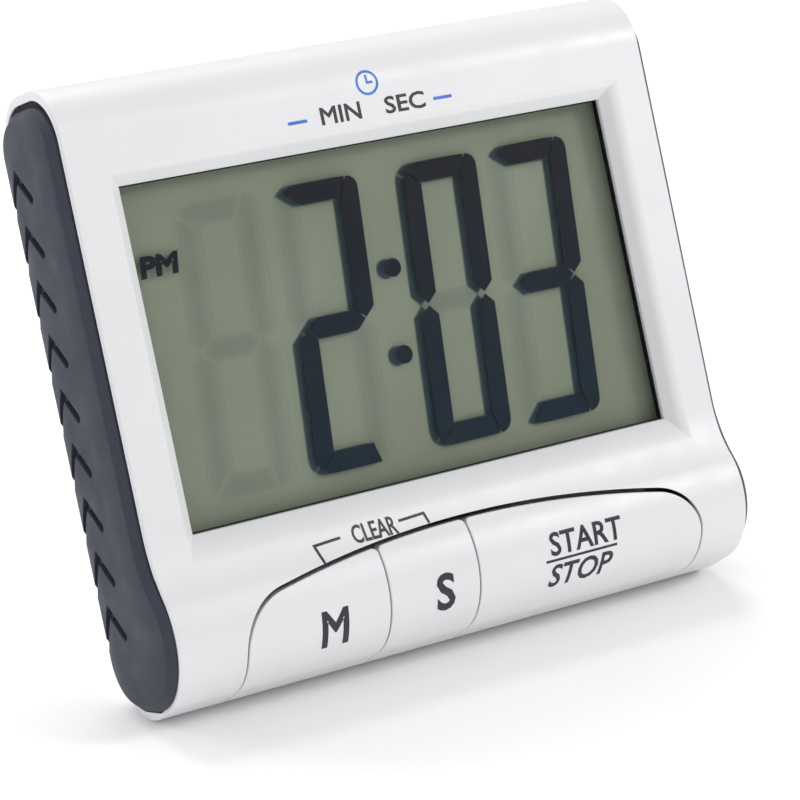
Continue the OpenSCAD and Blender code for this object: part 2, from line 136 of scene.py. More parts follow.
def rounded(low, high, radius):
    """A rectangle with round corners."""
    corners = [(high[0], high[1], 0), (low[0], high[1], 1), (low[0], low[1], 2), (high[0], low[1], 3)]
    parts = []
    for x, z, turn in corners:
        centre = (x - radius * (1 if turn in (0, 3) else -1), z - radius * (1 if turn < 2 else -1))
        parts.append(arc(centre, radius, turn * math.pi / 2, (turn + 1) * math.pi / 2, math.radians(10)))
    return np.concatenate(parts)


def capsule(a, b, radius):
    """A slot with round ends, from a to b."""
    angle = math.atan2(b[1] - a[1], b[0] - a[0])
    return np.concatenate([arc(a, radius, angle + FLAT, angle + 3 * FLAT, SLOT_STEP),
                           arc(b, radius, angle - FLAT, angle + FLAT, SLOT_STEP)])


def bent(a, b, c, radius):
    """A slot with round ends that runs from a to c with a corner at b."""
    a, b, c = np.array(a), np.array(b), np.array(c)
    u, v = (b - a) / np.linalg.norm(b - a), (c - b) / np.linalg.norm(c - b)
    n, m = np.array([-u[1], u[0]]), np.array([-v[1], v[0]])
    mitre = (n + m) / (1 + n @ m) * radius
    first, last = math.atan2(n[1], n[0]), math.atan2(m[1], m[0])
    return np.concatenate([arc(a, radius, first, first + math.pi, SLOT_STEP), [b - mitre],
                           arc(c, radius, last - math.pi, last, SLOT_STEP), [b + mitre]])


def counter_clockwise(loop):
    x, y = loop[:, 0], loop[:, 1]
    area = (x * np.roll(y, -1) - np.roll(x, -1) * y).sum()
    return loop if area > 0 else loop[::-1]


def grown(loop, distance):
    """The loop moved outwards by distance, or inwards where distance is negative, with mitred corners."""
    loop = counter_clockwise(loop)
    along = np.roll(loop, -1, axis=0) - loop
    along /= np.linalg.norm(along, axis=1)[:, None]
    after = np.c_[along[:, 1], -along[:, 0]]
    before = np.roll(after, 1, axis=0)
    share = 1 + (before * after).sum(1)
    return loop + (before + after) / np.maximum(share, 0.2)[:, None] * distance


def inside(points, starts, ends):
    """Which points the edges enclose, by the even-odd rule."""
    found = np.zeros(len(points), bool)
    for k in range(0, len(points), BATCH):
        x, y = points[k:k + BATCH, 0][:, None], points[k:k + BATCH, 1][:, None]
        crosses = (starts[:, 1] > y) != (ends[:, 1] > y)
        rise = np.where(ends[:, 1] == starts[:, 1], 1, ends[:, 1] - starts[:, 1])
        at = starts[:, 0] + (y - starts[:, 1]) * (ends[:, 0] - starts[:, 0]) / rise
        found[k:k + BATCH] = (crosses & (x < at)).sum(1) % 2 == 1
    return found


def inside_loop(points, loop):
    return inside(points, loop, np.roll(loop, -1, axis=0))


def triangulated(loops, lines=(), edges=None):
    """Points and triangles of the plane, with every loop, line and loose edge kept as mesh edges."""
    points, joins = [], []
    for path, closed in [(p, True) for p in loops] + [(p, False) for p in lines]:
        first = len(points)
        points += [tuple(p) for p in path]
        joins += [(first + i, first + i + 1) for i in range(len(path) - 1)]
        if closed:
            joins.append((first + len(path) - 1, first))
    if edges is not None:
        first = len(points)
        points += [tuple(p) for p in edges[0]]
        joins += [(first + a, first + b) for a, b in edges[1]]
    made = delaunay_2d_cdt([Vector(p) for p in points], joins, [], 0, 1e-5)
    return np.array([tuple(p) for p in made[0]]), np.array([tuple(f) for f in made[2] if len(f) == 3])


# ---------------------------------------------------------------- meshes with their own normals
class Skin:
    """Gathers faces and their shading normals in the housing's frame, and makes one mesh of them."""

    def __init__(self):
        self.corners, self.normals, self.faces = [], [], []
        self.count = 0

    def add(self, corners, normals, faces):
        corners = np.asarray(corners, float)
        normals = np.broadcast_to(np.asarray(normals, float), corners.shape)
        self.corners.append(corners)
        self.normals.append(normals)
        for face in faces:
            a, b, c = corners[face[0]], corners[face[1]], corners[face[2]]
            flat = np.cross(b - a, c - b)
            if len(face) > 3:
                flat = flat + np.cross(c - b, corners[face[3]] - c)
            facing = flat @ normals[list(face)].sum(0)
            self.faces.append([self.count + i for i in (face if facing >= 0 else face[::-1])])
        self.count += len(corners)

    def triangles(self, corners, normals):
        """Triangles given as rows of corners, three each, with a normal for each corner or one for all."""
        self.add(corners, normals, np.arange(len(corners)).reshape(-1, 3).tolist())

    def ribbon(self, tops, bottoms, normals, closed=False):
        """Quads between two matching rows of points. Normals are one for each point of the row."""
        n = len(tops)
        normals = np.broadcast_to(np.asarray(normals, float), (n, 3))
        spans = range(n if closed else n - 1)
        faces = [(i, (i + 1) % n, n + (i + 1) % n, n + i) for i in spans]
        self.add(np.concatenate([tops, bottoms]), np.concatenate([normals, normals]), faces)

    def object(self, name, finish):
        """Joins the corners that meet, drops the faces that this leaves without area, and links the mesh."""
        corners, normals = np.concatenate(self.corners), np.concatenate(self.normals)
        _, first, index = np.unique(np.round(corners, 4), axis=0, return_index=True, return_inverse=True)
        index = index.reshape(-1)
        faces, loops = [], []
        for face in self.faces:
            kept = [i for k, i in enumerate(face) if index[i] != index[face[k - 1]]]
            if len({index[i] for i in kept}) > 2:
                faces.append([int(index[i]) for i in kept])
                loops += kept
        mesh = bpy.data.meshes.new(name)
        places = corners[first] @ np.array(HOUSING.to_3x3()).T + np.array(HOUSING.translation)
        mesh.from_pydata(places.tolist(), [], faces)
        mesh.polygons.foreach_set("use_smooth", [True] * len(faces))
        turned = normals[loops] @ np.array(TURN.to_3x3()).T
        turned /= np.maximum(np.linalg.norm(turned, axis=1), 1e-9)[:, None]
        mesh.normals_split_custom_set(turned.tolist())
        mesh.materials.append(finish)
        return linked(name, mesh)


def linked(name, data):
    """A new object in the scene."""
    made = bpy.data.objects.new(name, data)
    bpy.context.scene.collection.objects.link(made)
    return made


def piece(skin, name, body, slot, *nodes, finish=None):
    """Makes the skin's object, hangs it on the body it rides on and hides the CAD nodes it stands for. Its
    finish is the slot's, unless another is given."""
    made = skin.object(name, finish or FINISH[slot])
    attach(made, body)
    if nodes:
        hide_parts(*nodes)


# ---------------------------------------------------------------- the case's section
class Section:
    """A path in depth and height with its outward normals, read by its own length."""

    def __init__(self, parts):
        rows = np.concatenate(parts)
        keep = np.r_[True, np.linalg.norm(np.diff(rows[:, :2], axis=0), axis=1) > 1e-6]
        self.rows = rows[keep]
        steps = np.linalg.norm(np.diff(self.rows[:, :2], axis=0), axis=1)
        self.length = np.r_[0, np.cumsum(steps)]

    def at(self, s):
        found = np.stack([np.interp(s, self.length, self.rows[:, k]) for k in range(4)], -1)
        found[..., 2:] /= np.linalg.norm(found[..., 2:], axis=-1)[..., None]
        return found

    def part(self, low, high):
        """The stretch between two lengths, with both ends in it."""
        between = self.length[(self.length > low + 1e-6) & (self.length < high - 1e-6)]
        return np.r_[low, between, high]

    def s_of(self, column, value, low, high):
        """The length at a height ("z") or depth ("y"), on a stretch where that only grows or only falls."""
        s = self.part(low, high)
        read = self.at(s)[:, "yz".index(column)]
        order = np.argsort(read)
        found = np.interp(value, read[order], s[order])
        return found if np.ndim(value) else float(found)


def bend(circle_at, start, end, inset=0, hollow=False):
    """One round stretch of a section: rows of depth, height and outward normal."""
    radius = circle_at[2] + (inset if hollow else -inset)
    points = arc(circle_at[:2], radius, math.radians(start), math.radians(end))
    out = points - np.array(circle_at[:2])
    out /= np.linalg.norm(out, axis=1)[:, None]
    return np.c_[points, -out if hollow else out]


def touch(a, b):
    """Angle of the outward normal, in degrees, of the straight line that touches circle a, then b."""
    across, up = b[0] - a[0], b[1] - a[1]
    return math.degrees(math.atan2(up, across) - math.acos((a[2] - b[2]) / math.hypot(across, up)))


def section_bends(top_front, top_back, low_back, low_front, inset=0):
    """The round stretches of a side section, from the hollow over the keys round to the top front."""
    front = top_front[0] - top_front[2]
    gap, drop = low_front[0] - front, BLEND_Z - low_front[1]
    radius = (gap * gap + drop * drop - low_front[2] ** 2) / (2 * (low_front[2] - gap))
    hollow = (front - radius, BLEND_Z, radius)
    turn = math.degrees(math.atan2(low_front[1] - BLEND_Z, low_front[0] - hollow[0]))
    low, rise = touch(low_front, low_back), touch(low_back, top_back)
    return [
        bend(hollow, 0, turn, inset, hollow=True),
        bend(low_front, 180 + turn, 360 + low, inset),
        bend(low_back, low, rise, inset),
        bend(top_back, rise, 90, inset),
        bend(top_front, 90, 180, inset),
    ]


def split_section(split_y):
    """The front and the back part of the case's section, parted at depth split_y."""
    hollow, low_front, _, _, top_front = section_bends(*CASE)
    top_angle = math.degrees(math.acos((split_y - CASE_TOP_BACK[0]) / CASE_TOP_BACK[2]))
    low_angle = -math.degrees(math.acos((split_y - CASE_LOW_BACK[0]) / CASE_LOW_BACK[2]))
    rise, low = touch(CASE_LOW_BACK, CASE_TOP_BACK), touch(CASE_LOW_FRONT, CASE_LOW_BACK)
    front = Section([
        bend(CASE_TOP_BACK, top_angle, 90), top_front, hollow, low_front,
        bend(CASE_LOW_BACK, low, low_angle),
    ])
    back = Section([
        bend(CASE_LOW_BACK, low_angle, rise), bend(CASE_TOP_BACK, rise, top_angle),
    ])
    return front, back


def outline(circles, inset):
    """The side outline of the case or a grip, moved inwards."""
    return counter_clockwise(np.concatenate([b[:, :2] for b in section_bends(*circles, inset)]))


def crossed(loop, y):
    """The loop with points added where it crosses depth y."""
    rows = []
    for a, b in zip(loop, np.roll(loop, -1, axis=0)):
        rows.append(a)
        if (a[0] - y) * (b[0] - y) < 0:
            rows.append(a + (b - a) * (y - a[0]) / (b[0] - a[0]))
    return np.array(rows)


def extent_at(loop, y):
    """Lowest and highest height of a loop of depth and height at depth y."""
    on = crossed(loop, y)
    heights = on[np.abs(on[:, 0] - y) < 1e-6, 1]
    return heights.min(), heights.max()


FRONT, BACK = split_section(SPLIT_Y)
FRONT_END, BACK_END = FRONT.length[-1], BACK.length[-1]
FRONT_DOWN = (0, FRONT_END * 0.93)


# ---------------------------------------------------------------- surfaces and the panels cut from them
class Rolled:
    """A surface that follows a section. Its plan is width by length along the section. Between the two
    drawn lengths, the way into its depth rises at least by the draft, so that a key can swing in."""

    def __init__(self, section, drawn=(0, 0), draft=0.0):
        self.section, self.drawn, self.draft = section, drawn, draft
        a, b = section.rows[0], section.rows[1]
        self.way = 1 if (b[1] - a[1]) * a[2] - (b[0] - a[0]) * a[3] > 0 else -1

    def stations(self, low, high):
        return self.section.part(low, high)[1:-1]

    def place(self, plan, depth=0.0):
        at, depth = self.section.at(plan[:, 1]), np.asarray(depth)
        inwards = -at[:, 2:]
        moved = (plan[:, 1] > self.drawn[0]) & (plan[:, 1] < self.drawn[1])
        moved &= at[:, 3] > self.draft * at[:, 2]
        inwards[moved, 1] = self.draft * inwards[moved, 0]
        return np.c_[plan[:, 0], at[:, 0] + depth * inwards[:, 0], at[:, 1] + depth * inwards[:, 1]]

    def normals(self, plan):
        return np.c_[np.zeros(len(plan)), self.section.at(plan[:, 1])[:, 2:]]

    def along(self, plan, ways):
        """Ways on the plan as directions in the housing's frame."""
        none, back, up = self.normals(plan).T
        return ways[:, :1] * [1, 0, 0] + ways[:, 1:] * (np.c_[none, -up, back] * self.way)


class Plane:
    """A plane through a point. Its plan is distance along each of its two axes."""

    def __init__(self, origin, across, up, normal):
        self.origin, self.across, self.up, self.normal = map(np.array, (origin, across, up, normal))

    def stations(self, low, high):
        return []

    def place(self, plan, depth=0.0):
        depth = np.broadcast_to(depth, len(plan))
        return self.origin + plan[:, :1] * self.across + plan[:, 1:] * self.up - depth[:, None] * self.normal

    def normals(self, plan):
        return np.broadcast_to(self.normal, (len(plan), 3))

    def along(self, plan, ways):
        return ways[:, :1] * self.across + ways[:, 1:] * self.up


def facing_back(y):
    return Plane((0.0, y, 0.0), (1.0, 0, 0), (0, 0, 1.0), (0, 1.0, 0))


def facing_front(y):
    return Plane((0.0, y, 0.0), (1.0, 0, 0), (0, 0, 1.0), (0, -1.0, 0))


def facing_side(x, side):
    return Plane((x, 0.0, 0.0), (0, 1.0, 0), (0, 0, 1.0), (float(side), 0, 0))


def fillet(radius, steps=4):
    """An edge rounded by a quarter circle: rows of distance from the edge, depth and tilt."""
    turns = np.linspace(0, FLAT, steps + 1)
    return np.c_[radius * (1 - np.cos(turns)), radius * (1 - np.sin(turns)), turns]


EDGE_SHARES = np.array([1, 0.8, 0.6, 0.42, 0.28, 0.17, 0.09, 0.04, 0.012, 0])


def slope(depth, shoulder):
    """A 45 degree slope whose outer shoulder is rounded with the given radius."""
    drops = depth * EDGE_SHARES
    start = shoulder * (1 - math.sin(FLAT / 2))
    tilts = np.arcsin(1 - np.minimum(drops, start) / shoulder)
    rounded_off = depth - start + shoulder * (math.cos(FLAT / 2) - np.cos(tilts))
    runs = np.where(drops > start, depth - drops, rounded_off)
    return np.c_[runs, drops, tilts]


def eased(depth, width):
    """A slope that lies flatter and flatter until it joins the surface at the given width."""
    left = np.sqrt(EDGE_SHARES)
    return np.c_[width * (1 - left), depth * EDGE_SHARES, np.arctan2(1, 2 * depth / width * left)]


SHARP = np.array([[0, 0, FLAT], [1e-3, 0, FLAT]])
SEAT_EDGE, HOLE_EDGE, MARK_EDGE = fillet(0.2, 3), fillet(0.15, 3), fillet(0.12, 3)
FOUR_WAYS = np.array([[1, 0], [0, 1], [-1, 0], [0, -1]], float)


class Cut:
    """An opening in a panel, or its outer limit, with the shape of its edge. A boxed one is an upright
    rectangle."""

    def __init__(self, loop, edge=SHARP, outer=False, boxed=False):
        self.loop, self.edge = counter_clockwise(np.asarray(loop, float)), edge
        self.outer, self.boxed = outer, boxed
        self.low, self.high = self.loop.min(0), self.loop.max(0)

    def rings(self):
        """The loop, and a loop in the panel for each row of its edge."""
        sign = -1 if self.outer else 1
        steps = self.edge[(self.edge[:, 0] > 2e-3) & np.r_[True, np.diff(self.edge[:, 0]) > 2e-3], 0]
        return [self.loop] + [grown(self.loop, sign * d) for d in steps]

    def creases(self):
        return []

    def encloses(self, points):
        return inside_loop(points, self.loop)

    def relief(self, points):
        """Depth below the surface, tilt, and the direction of the opening."""
        apart, ways = self.reach(points)
        depth = np.interp(apart, self.edge[:, 0], self.edge[:, 1], right=0)
        depth[apart > self.edge[-1, 0]] = 0
        return depth, np.interp(apart, self.edge[:, 0], self.edge[:, 2]), ways

    def reach(self, points):
        """Distance from the edge into the panel, and the direction from the panel to the opening."""
        if self.boxed:
            sides = np.c_[points - self.high, self.low - points]
            k = sides.argmax(1)
            apart = sides[np.arange(len(points)), k]
            return (-apart, FOUR_WAYS[k]) if self.outer else (apart, -FOUR_WAYS[k])
        starts, ends = self.loop, np.roll(self.loop, -1, axis=0)
        runs = ends - starts
        apart, ways = np.full(len(points), 1e9), np.zeros((len(points), 2))
        span = self.edge[-1, 0] + 0.5
        near = np.flatnonzero(((points > self.low - span) & (points < self.high + span)).all(1))
        for k in range(0, len(near), BATCH):
            rows = near[k:k + BATCH]
            offset = points[rows][:, None] - starts
            share = np.clip((offset * runs).sum(2) / (runs * runs).sum(1), 0, 1)
            gap = offset - share[..., None] * runs
            length = np.linalg.norm(gap, axis=2)
            best = length.argmin(1)
            pick = np.arange(len(rows))
            apart[rows] = length[pick, best]
            ways[rows] = -gap[pick, best] / np.maximum(apart[rows], 1e-9)[:, None]
        return apart, ways


class FramedCut(Cut):
    """An upright opening with an edge of its own for each side: right, up the plan, left, down it. The
    edges have equally many rows."""

    def __init__(self, low, high, edges):
        super().__init__(rectangle(low, high), boxed=True)
        self.edges = edges

    def rings(self):
        right, over, left, under = [e[:, 0] for e in self.edges]
        return [rectangle(self.low - (left[j], under[j]), self.high + (right[j], over[j]))
                for j in range(len(right))]

    def creases(self):
        """Lines from the corners outwards, where two sides' edges meet."""
        return list(np.swapaxes(self.rings(), 0, 1))

    def relief(self, points):
        sides = np.c_[points - self.high, self.low - points]
        sides[np.abs(sides) < 1e-5] = 0
        depths = np.array([np.interp(sides[:, j], e[:, 0], e[:, 1], left=np.inf, right=0)
                           for j, e in enumerate(self.edges)])
        tilts = np.array([np.interp(sides[:, j], e[:, 0], e[:, 2]) for j, e in enumerate(self.edges)])
        k, pick = depths.argmin(0), np.arange(len(points))
        depth = depths[k, pick]
        depth[np.isinf(depth)] = 0
        return depth, tilts[k, pick], -FOUR_WAYS[k]


class Panel:
    """Part of a surface with openings cut in it, each with its own rounded or sloping edge."""

    def __init__(self, surface, cuts):
        self.surface, self.cuts = surface, cuts
        outer = [c for c in cuts if c.outer]
        low, high = np.max([c.low for c in outer], axis=0), np.min([c.high for c in outer], axis=0)
        lines = [[(low[0], s), (high[0], s)] for s in surface.stations(low[1], high[1])]
        lines += [crease for c in cuts for crease in c.creases()]
        self.plan, triangles = triangulated([r for c in cuts for r in c.rings()], lines)
        middles = self.plan[triangles].mean(1)
        within = np.all([c.encloses(middles) for c in outer], axis=0)
        self.every = triangles[within]
        solid = within.copy()
        for cut in cuts:
            solid &= cut.outer | ~cut.encloses(middles)
        self.triangles = triangles[solid]

    def relief(self, points):
        """Depth below the surface, tilt, and the direction of the nearest opening."""
        depth, tilt = np.zeros(len(points)), np.full(len(points), FLAT)
        ways = np.zeros((len(points), 2))
        for cut in self.cuts:
            here, turn, towards = cut.relief(points)
            deeper = here > depth
            depth[deeper], tilt[deeper], ways[deeper] = here[deeper], turn[deeper], towards[deeper]
        return depth, tilt, ways

    def skin(self, into):
        """Adds the outer surface."""
        plan = self.plan[self.triangles]
        corners = plan.reshape(-1, 2)
        inwards = np.repeat(plan.mean(1), 3, axis=0) - corners
        inwards /= np.maximum(np.linalg.norm(inwards, axis=1), 1e-9)[:, None]
        _, tilt, ways = self.relief(corners + inwards * 0.004)
        shading = (self.surface.along(corners, ways) * np.cos(tilt)[:, None]
                   + self.surface.normals(corners) * np.sin(tilt)[:, None])
        into.triangles(self.surface.place(corners, self.relief(corners)[0]), shading)

    def back(self, into, depth):
        """Adds the same surface at a set depth, facing inwards."""
        corners = self.plan[self.triangles].reshape(-1, 2)
        into.triangles(self.surface.place(corners, depth), -self.surface.normals(corners))

    def sunk(self, plan, depth, to_y):
        """Places at least as deep as depth below the surface, or straight back from it at to_y."""
        relief = self.relief(plan)[0]
        if to_y is None:
            return self.surface.place(plan, np.maximum(relief, depth))
        places = self.surface.place(plan, relief)
        places[:, 1] = to_y
        return places

    def floor(self, into, cut, depth=0.0, to_y=None, holes=()):
        """Adds the bottom of an opening, apart from holes in it."""
        middles = self.plan[self.every].mean(1)
        keep = cut.encloses(middles)
        for hole in holes:
            keep &= ~hole.encloses(middles)
        corners = self.plan[self.every[keep]].reshape(-1, 2)
        into.triangles(self.sunk(corners, depth, to_y), self.surface.normals(corners))

    def recess(self, into, cuts, depth=0.0, to_y=None, holes=()):
        """Adds the side and the bottom of each of some recesses."""
        for cut in cuts:
            self.wall(into, cut, depth, to_y)
            self.floor(into, cut, depth, to_y, holes)

    def wall(self, into, cut, depth=0.0, to_y=None):
        """Adds the side of a cut, down to a depth below the surface or straight back to to_y."""
        edges = {}
        for t in self.triangles:
            for a, b in ((t[0], t[1]), (t[1], t[2]), (t[2], t[0])):
                key = (min(a, b), max(a, b))
                edges[key] = None if key in edges else (a, b)
        loose = np.array([e for e in edges.values() if e is not None])
        middles = self.plan[loose].mean(1)
        for a, b in self.plan[loose[np.abs(cut.reach(middles)[0]) < TOUCHING]]:
            plan = np.array([a, b])
            run = (b - a) / np.linalg.norm(b - a)
            way = np.array([[run[1], -run[0]]])
            if cut.encloses((a + b)[None] / 2 + way * ASIDE)[0] == cut.outer:
                way = -way
            normal = self.surface.along(plan[:1], way)[0]
            top = self.surface.place(plan, self.relief(plan)[0])
            into.ribbon(top, self.sunk(plan, depth, to_y), normal)


def limit(low, high, edge=SHARP):
    """The outer limit of a panel, as an upright rectangle."""
    return Cut(rectangle(low, high), edge, outer=True, boxed=True)


def flat_face(into, plane, outline, holes=(), lines=(), mine=None):
    """A flat face inside an outline and outside its holes, kept only where mine() says so if it is given."""
    points, triangles = triangulated([outline, *holes], lines)
    middles = points[triangles].mean(1)
    kept = inside_loop(middles, outline)
    for hole in holes:
        kept &= ~inside_loop(middles, hole)
    if mine:
        kept &= mine(middles)
    into.triangles(plane.place(points[triangles[kept]].reshape(-1, 2)), plane.normal)


def side_wall(into, loop, first, second, outwards=1, keep=None):
    """A wall along a closed loop between two parallel planes. It faces out of the loop, or into it
    where outwards is -1. It leaves out the edges whose middles keep() refuses."""
    loop = counter_clockwise(loop)
    for ends in zip(loop, np.roll(loop, -1, axis=0)):
        ends = np.array(ends)
        if keep is None or keep(ends.mean(0)):
            run = (ends[1] - ends[0]) / np.linalg.norm(ends[1] - ends[0])
            normal = run[1] * first.across - run[0] * first.up
            into.ribbon(first.place(ends), second.place(ends), outwards * normal)


def lathe(into, centre, axis, profile, sides=48):
    """A shape of revolution about an axis through centre. The profile gives radius and distance along
    the axis, from the far end's middle outwards and back to the near end's."""
    centre, axis = np.array(centre, float), np.array(axis, float)
    side = np.cross(axis, [0, 0, 1])
    other = np.cross(axis, side)
    angles = np.linspace(0, math.tau, sides, endpoint=False)
    spokes = np.cos(angles)[:, None] * side + np.sin(angles)[:, None] * other
    for (r, along), (next_r, next_along) in zip(profile, profile[1:]):
        normals = spokes * (along - next_along) + axis * (next_r - r)
        into.ribbon(centre + spokes * r + axis * along, centre + spokes * next_r + axis * next_along,
                    normals, closed=True)


def rod(into, start, end, radius, hole=0.0, bevel=0.15):
    """A round bar between two points, with small chamfers, and a hole through it where one is given."""
    start, end = np.array(start, float), np.array(end, float)
    length = np.linalg.norm(end - start)
    profile = [(hole, length), (radius - bevel, length), (radius, length - bevel), (radius, bevel),
               (radius - bevel, 0), (hole, 0)]
    if hole:
        profile.append((hole, length))
    lathe(into, start, (end - start) / length, profile, sides=32)


def plate(into, face, edge, marks=(), mark_depth=0.0, thick=0.0):
    """The face of a flat plate, the marks sunk in it, and its side where it is thick."""
    panel = Panel(face, [edge, *marks])
    panel.skin(into)
    panel.recess(into, marks, mark_depth)
    if thick:
        panel.wall(into, edge, thick)


def block(into, low, high):
    """An upright box."""
    edge = limit((low[0], low[2]), (high[0], high[2]))
    plate(into, facing_back(high[1]), edge, thick=high[1] - low[1])
    flat_face(into, facing_front(low[1]), edge.loop)


# ---------------------------------------------------------------- materials
NOISE_LOW, NOISE_HIGH = 0.3, 0.7


def material(name, colour, roughness=0.5, metallic=0.0, **sockets):
    """A Principled material; more sockets are set by their names, with _ for a space."""
    made = bpy.data.materials.new(name)
    made.use_nodes = True
    shader = made.node_tree.nodes["Principled BSDF"]
    shader.inputs["Base Color"].default_value = (*colour, 1)
    shader.inputs["Roughness"].default_value = roughness
    shader.inputs["Metallic"].default_value = metallic
    for socket, value in sockets.items():
        shader.inputs[socket.replace("_", " ")].default_value = value
    return made


def shader_input(made, name):
    return made.node_tree.nodes["Principled BSDF"].inputs[name]


def node(made, kind, **values):
    """Adds a shader node and sets its inputs by name."""
    added = made.node_tree.nodes.new(kind)
    for socket, value in values.items():
        added.inputs[socket.replace("_", " ")].default_value = value
    return added


def link(made, source, target):
    made.node_tree.links.new(source, target)


def place_noise(made, scale, detail=2.0, stretch=(1, 1, 1)):
    """Noise in the object's own place, scaled in cycles per metre. Gives the factor output."""
    coordinates = node(made, "ShaderNodeTexCoord")
    mapping = node(made, "ShaderNodeMapping")
    mapping.inputs["Scale"].default_value = stretch
    noise = node(made, "ShaderNodeTexNoise", Scale=scale, Detail=detail)
    link(made, coordinates.outputs["Object"], mapping.inputs["Vector"])
    link(made, mapping.outputs["Vector"], noise.inputs["Vector"])
    return noise.outputs["Fac"]


def place_along(made, axis):
    """The object's own coordinate along X, Y or Z, in metres."""
    coordinates = node(made, "ShaderNodeTexCoord")
    split = node(made, "ShaderNodeSeparateXYZ")
    link(made, coordinates.outputs["Object"], split.inputs["Vector"])
    return split.outputs[axis]


def remap(made, source, low, high, start=NOISE_LOW, end=NOISE_HIGH):
    """Maps the source from start..end to low..high."""
    ranged = node(made, "ShaderNodeMapRange")
    for index, value in enumerate((start, end, low, high)):
        ranged.inputs[index + 1].default_value = value
    link(made, source, ranged.inputs["Value"])
    return ranged.outputs["Result"]


def ramp(made, source, stops, stepped=False):
    """Colours by the source: stops are pairs of a place from 0 to 1 and a colour."""
    added = node(made, "ShaderNodeValToRGB")
    bar = added.color_ramp
    bar.interpolation = "CONSTANT" if stepped else "LINEAR"
    while len(bar.elements) < len(stops):
        bar.elements.new(1.0)
    for element, (place, colour) in zip(bar.elements, stops):
        element.position, element.color = place, (*colour, 1)
    link(made, source, added.inputs["Fac"])
    return added.outputs["Color"]


def tinted(made, source, first, second, start=NOISE_LOW, end=NOISE_HIGH):
    """Colours the surface between two tints as the source runs from start to end."""
    link(made, ramp(made, source, [(start, first), (end, second)]), shader_input(made, "Base Color"))


def rough(made, source, low, high, start=NOISE_LOW, end=NOISE_HIGH):
    """Sets the roughness from low to high as the source runs from start to end."""
    link(made, remap(made, source, low, high, start, end), shader_input(made, "Roughness"))


def bumped(made, source, height):
    """Raises the surface by the source times height, in metres."""
    bump = node(made, "ShaderNodeBump", Strength=1.0, Distance=height)
    link(made, source, bump.inputs["Height"])
    link(made, bump.outputs["Normal"], shader_input(made, "Normal"))


def moulded(name, first, second, roughness, grain=14000, height=2.0e-6, drift=60, polish=220, **sockets):
    """Moulded plastic or rubber: faint drifts of colour, uneven polish and a fine grain."""
    made = material(name, first, roughness, **sockets)
    tinted(made, place_noise(made, drift, 3), first, second)
    rough(made, place_noise(made, polish, 4), roughness * 0.85, roughness * 1.15)
    bumped(made, place_noise(made, grain, 2), height)
    return made


def metal(name, first, second, roughness, brushed=(1, 1, 1), drift=150, polish=2500, grain=5000):
    """Metal with a brushed grain along the axis whose stretch is smallest."""
    made = material(name, first, roughness, 1.0)
    tinted(made, place_noise(made, drift, 3), first, second)
    rough(made, place_noise(made, polish, 3, brushed), roughness * 0.7, roughness * 1.4)
    bumped(made, place_noise(made, grain, 2, brushed), 1.5e-6)
    return made


def cell_jacket():
    """A shrunk blue sleeve with a pale grey band at the button end, and bare steel ends."""
    made = material("cell_sleeve", (0.02, 0.02, 0.02), 0.3)
    low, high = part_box("battery_cell")
    along = remap(made, place_along(made, "X"), 0, 1, low.x, high.x)
    button, band, sleeve = 0.045, 0.2, 0.985
    steel, grey, blue = (0.6, 0.6, 0.6), (0.5, 0.52, 0.54), (0.02, 0.07, 0.19)
    colours = ramp(made, along, [(0, steel), (button, grey), (band, blue), (sleeve, steel)], True)
    link(made, colours, shader_input(made, "Base Color"))
    bare, wrapped = (1, 1, 1), (0, 0, 0)
    metal_share = ramp(made, along, [(0, bare), (button, wrapped), (sleeve, bare)], True)
    link(made, metal_share, shader_input(made, "Metallic"))
    rough(made, place_noise(made, 400, 3), 0.22, 0.34)
    return made


def wire_sleeve(name, split_x):
    """Red insulation on the wire left of split_x, black on the other."""
    made = material(name, (0.3, 0.02, 0.02), 0.45)
    side = remap(made, place_along(made, "X"), 0, 1, split_x - 1e-4, split_x + 1e-4)
    tinted(made, side, (0.35, 0.02, 0.02), (0.015, 0.015, 0.017))
    rough(made, place_noise(made, 900, 3), 0.38, 0.55)
    bumped(made, place_noise(made, 6000, 2), 3e-6)
    return made


def circuit_board():
    """Solder mask over copper: a paler green where tracks run beneath it."""
    made = material("solder_mask", (0.02, 0.12, 0.05), 0.3)
    tracks = place_noise(made, 260, 1, (1, 0.2, 0.2))
    tinted(made, tracks, (0.012, 0.09, 0.035), (0.03, 0.17, 0.07), 0.48, 0.52)
    bumped(made, tracks, 8e-6)
    rough(made, place_noise(made, 800, 3), 0.25, 0.4)
    return made


def display_back():
    """The display's reflector: metal flakes in a grey-green film, with faint uneven patches."""
    made = material("reflector_film", REFLECTOR, 0.75, Specular_IOR_Level=0.2)
    flakes = place_noise(made, 9000, 3)
    patches = place_noise(made, 45, 3)
    mix = node(made, "ShaderNodeMix")
    mix.inputs[0].default_value = 0.35
    link(made, patches, mix.inputs[2])
    link(made, flakes, mix.inputs[3])
    dark = tuple(c * 0.93 for c in REFLECTOR)
    pale = tuple(c * t for c, t in zip(REFLECTOR, (1.06, 1.06, 1.09)))
    tinted(made, mix.outputs[0], dark, pale, 0.38, 0.62)
    bumped(made, flakes, 2e-6)
    return made


def lcd_mark(name, top, low, **sockets):
    """Liquid crystal under voltage: a dark tint that turns bluer down the display. See-through, the same
    tint also serves the faint unlit bars and the painted shadows of the bars on the reflector.
    """
    made = material(name, top, 0.5, Specular_IOR_Level=0.1, **sockets)
    height = remap(made, place_along(made, "Z"), 0, 1, *TINT_HEIGHTS)
    tinted(made, height, low, top, 0.1, 0.9)
    rough(made, place_noise(made, 500, 3), 0.4, 0.6)
    return made


def clear_sheet(name, tint, alpha, roughness):
    """A see-through sheet with a faint haze."""
    made = material(name, tint, roughness, Alpha=alpha)
    tinted(made, place_noise(made, 80, 3), tint, tuple(c * 1.1 for c in tint))
    rough(made, place_noise(made, 300, 3), roughness * 0.8, roughness * 1.2)
    return made


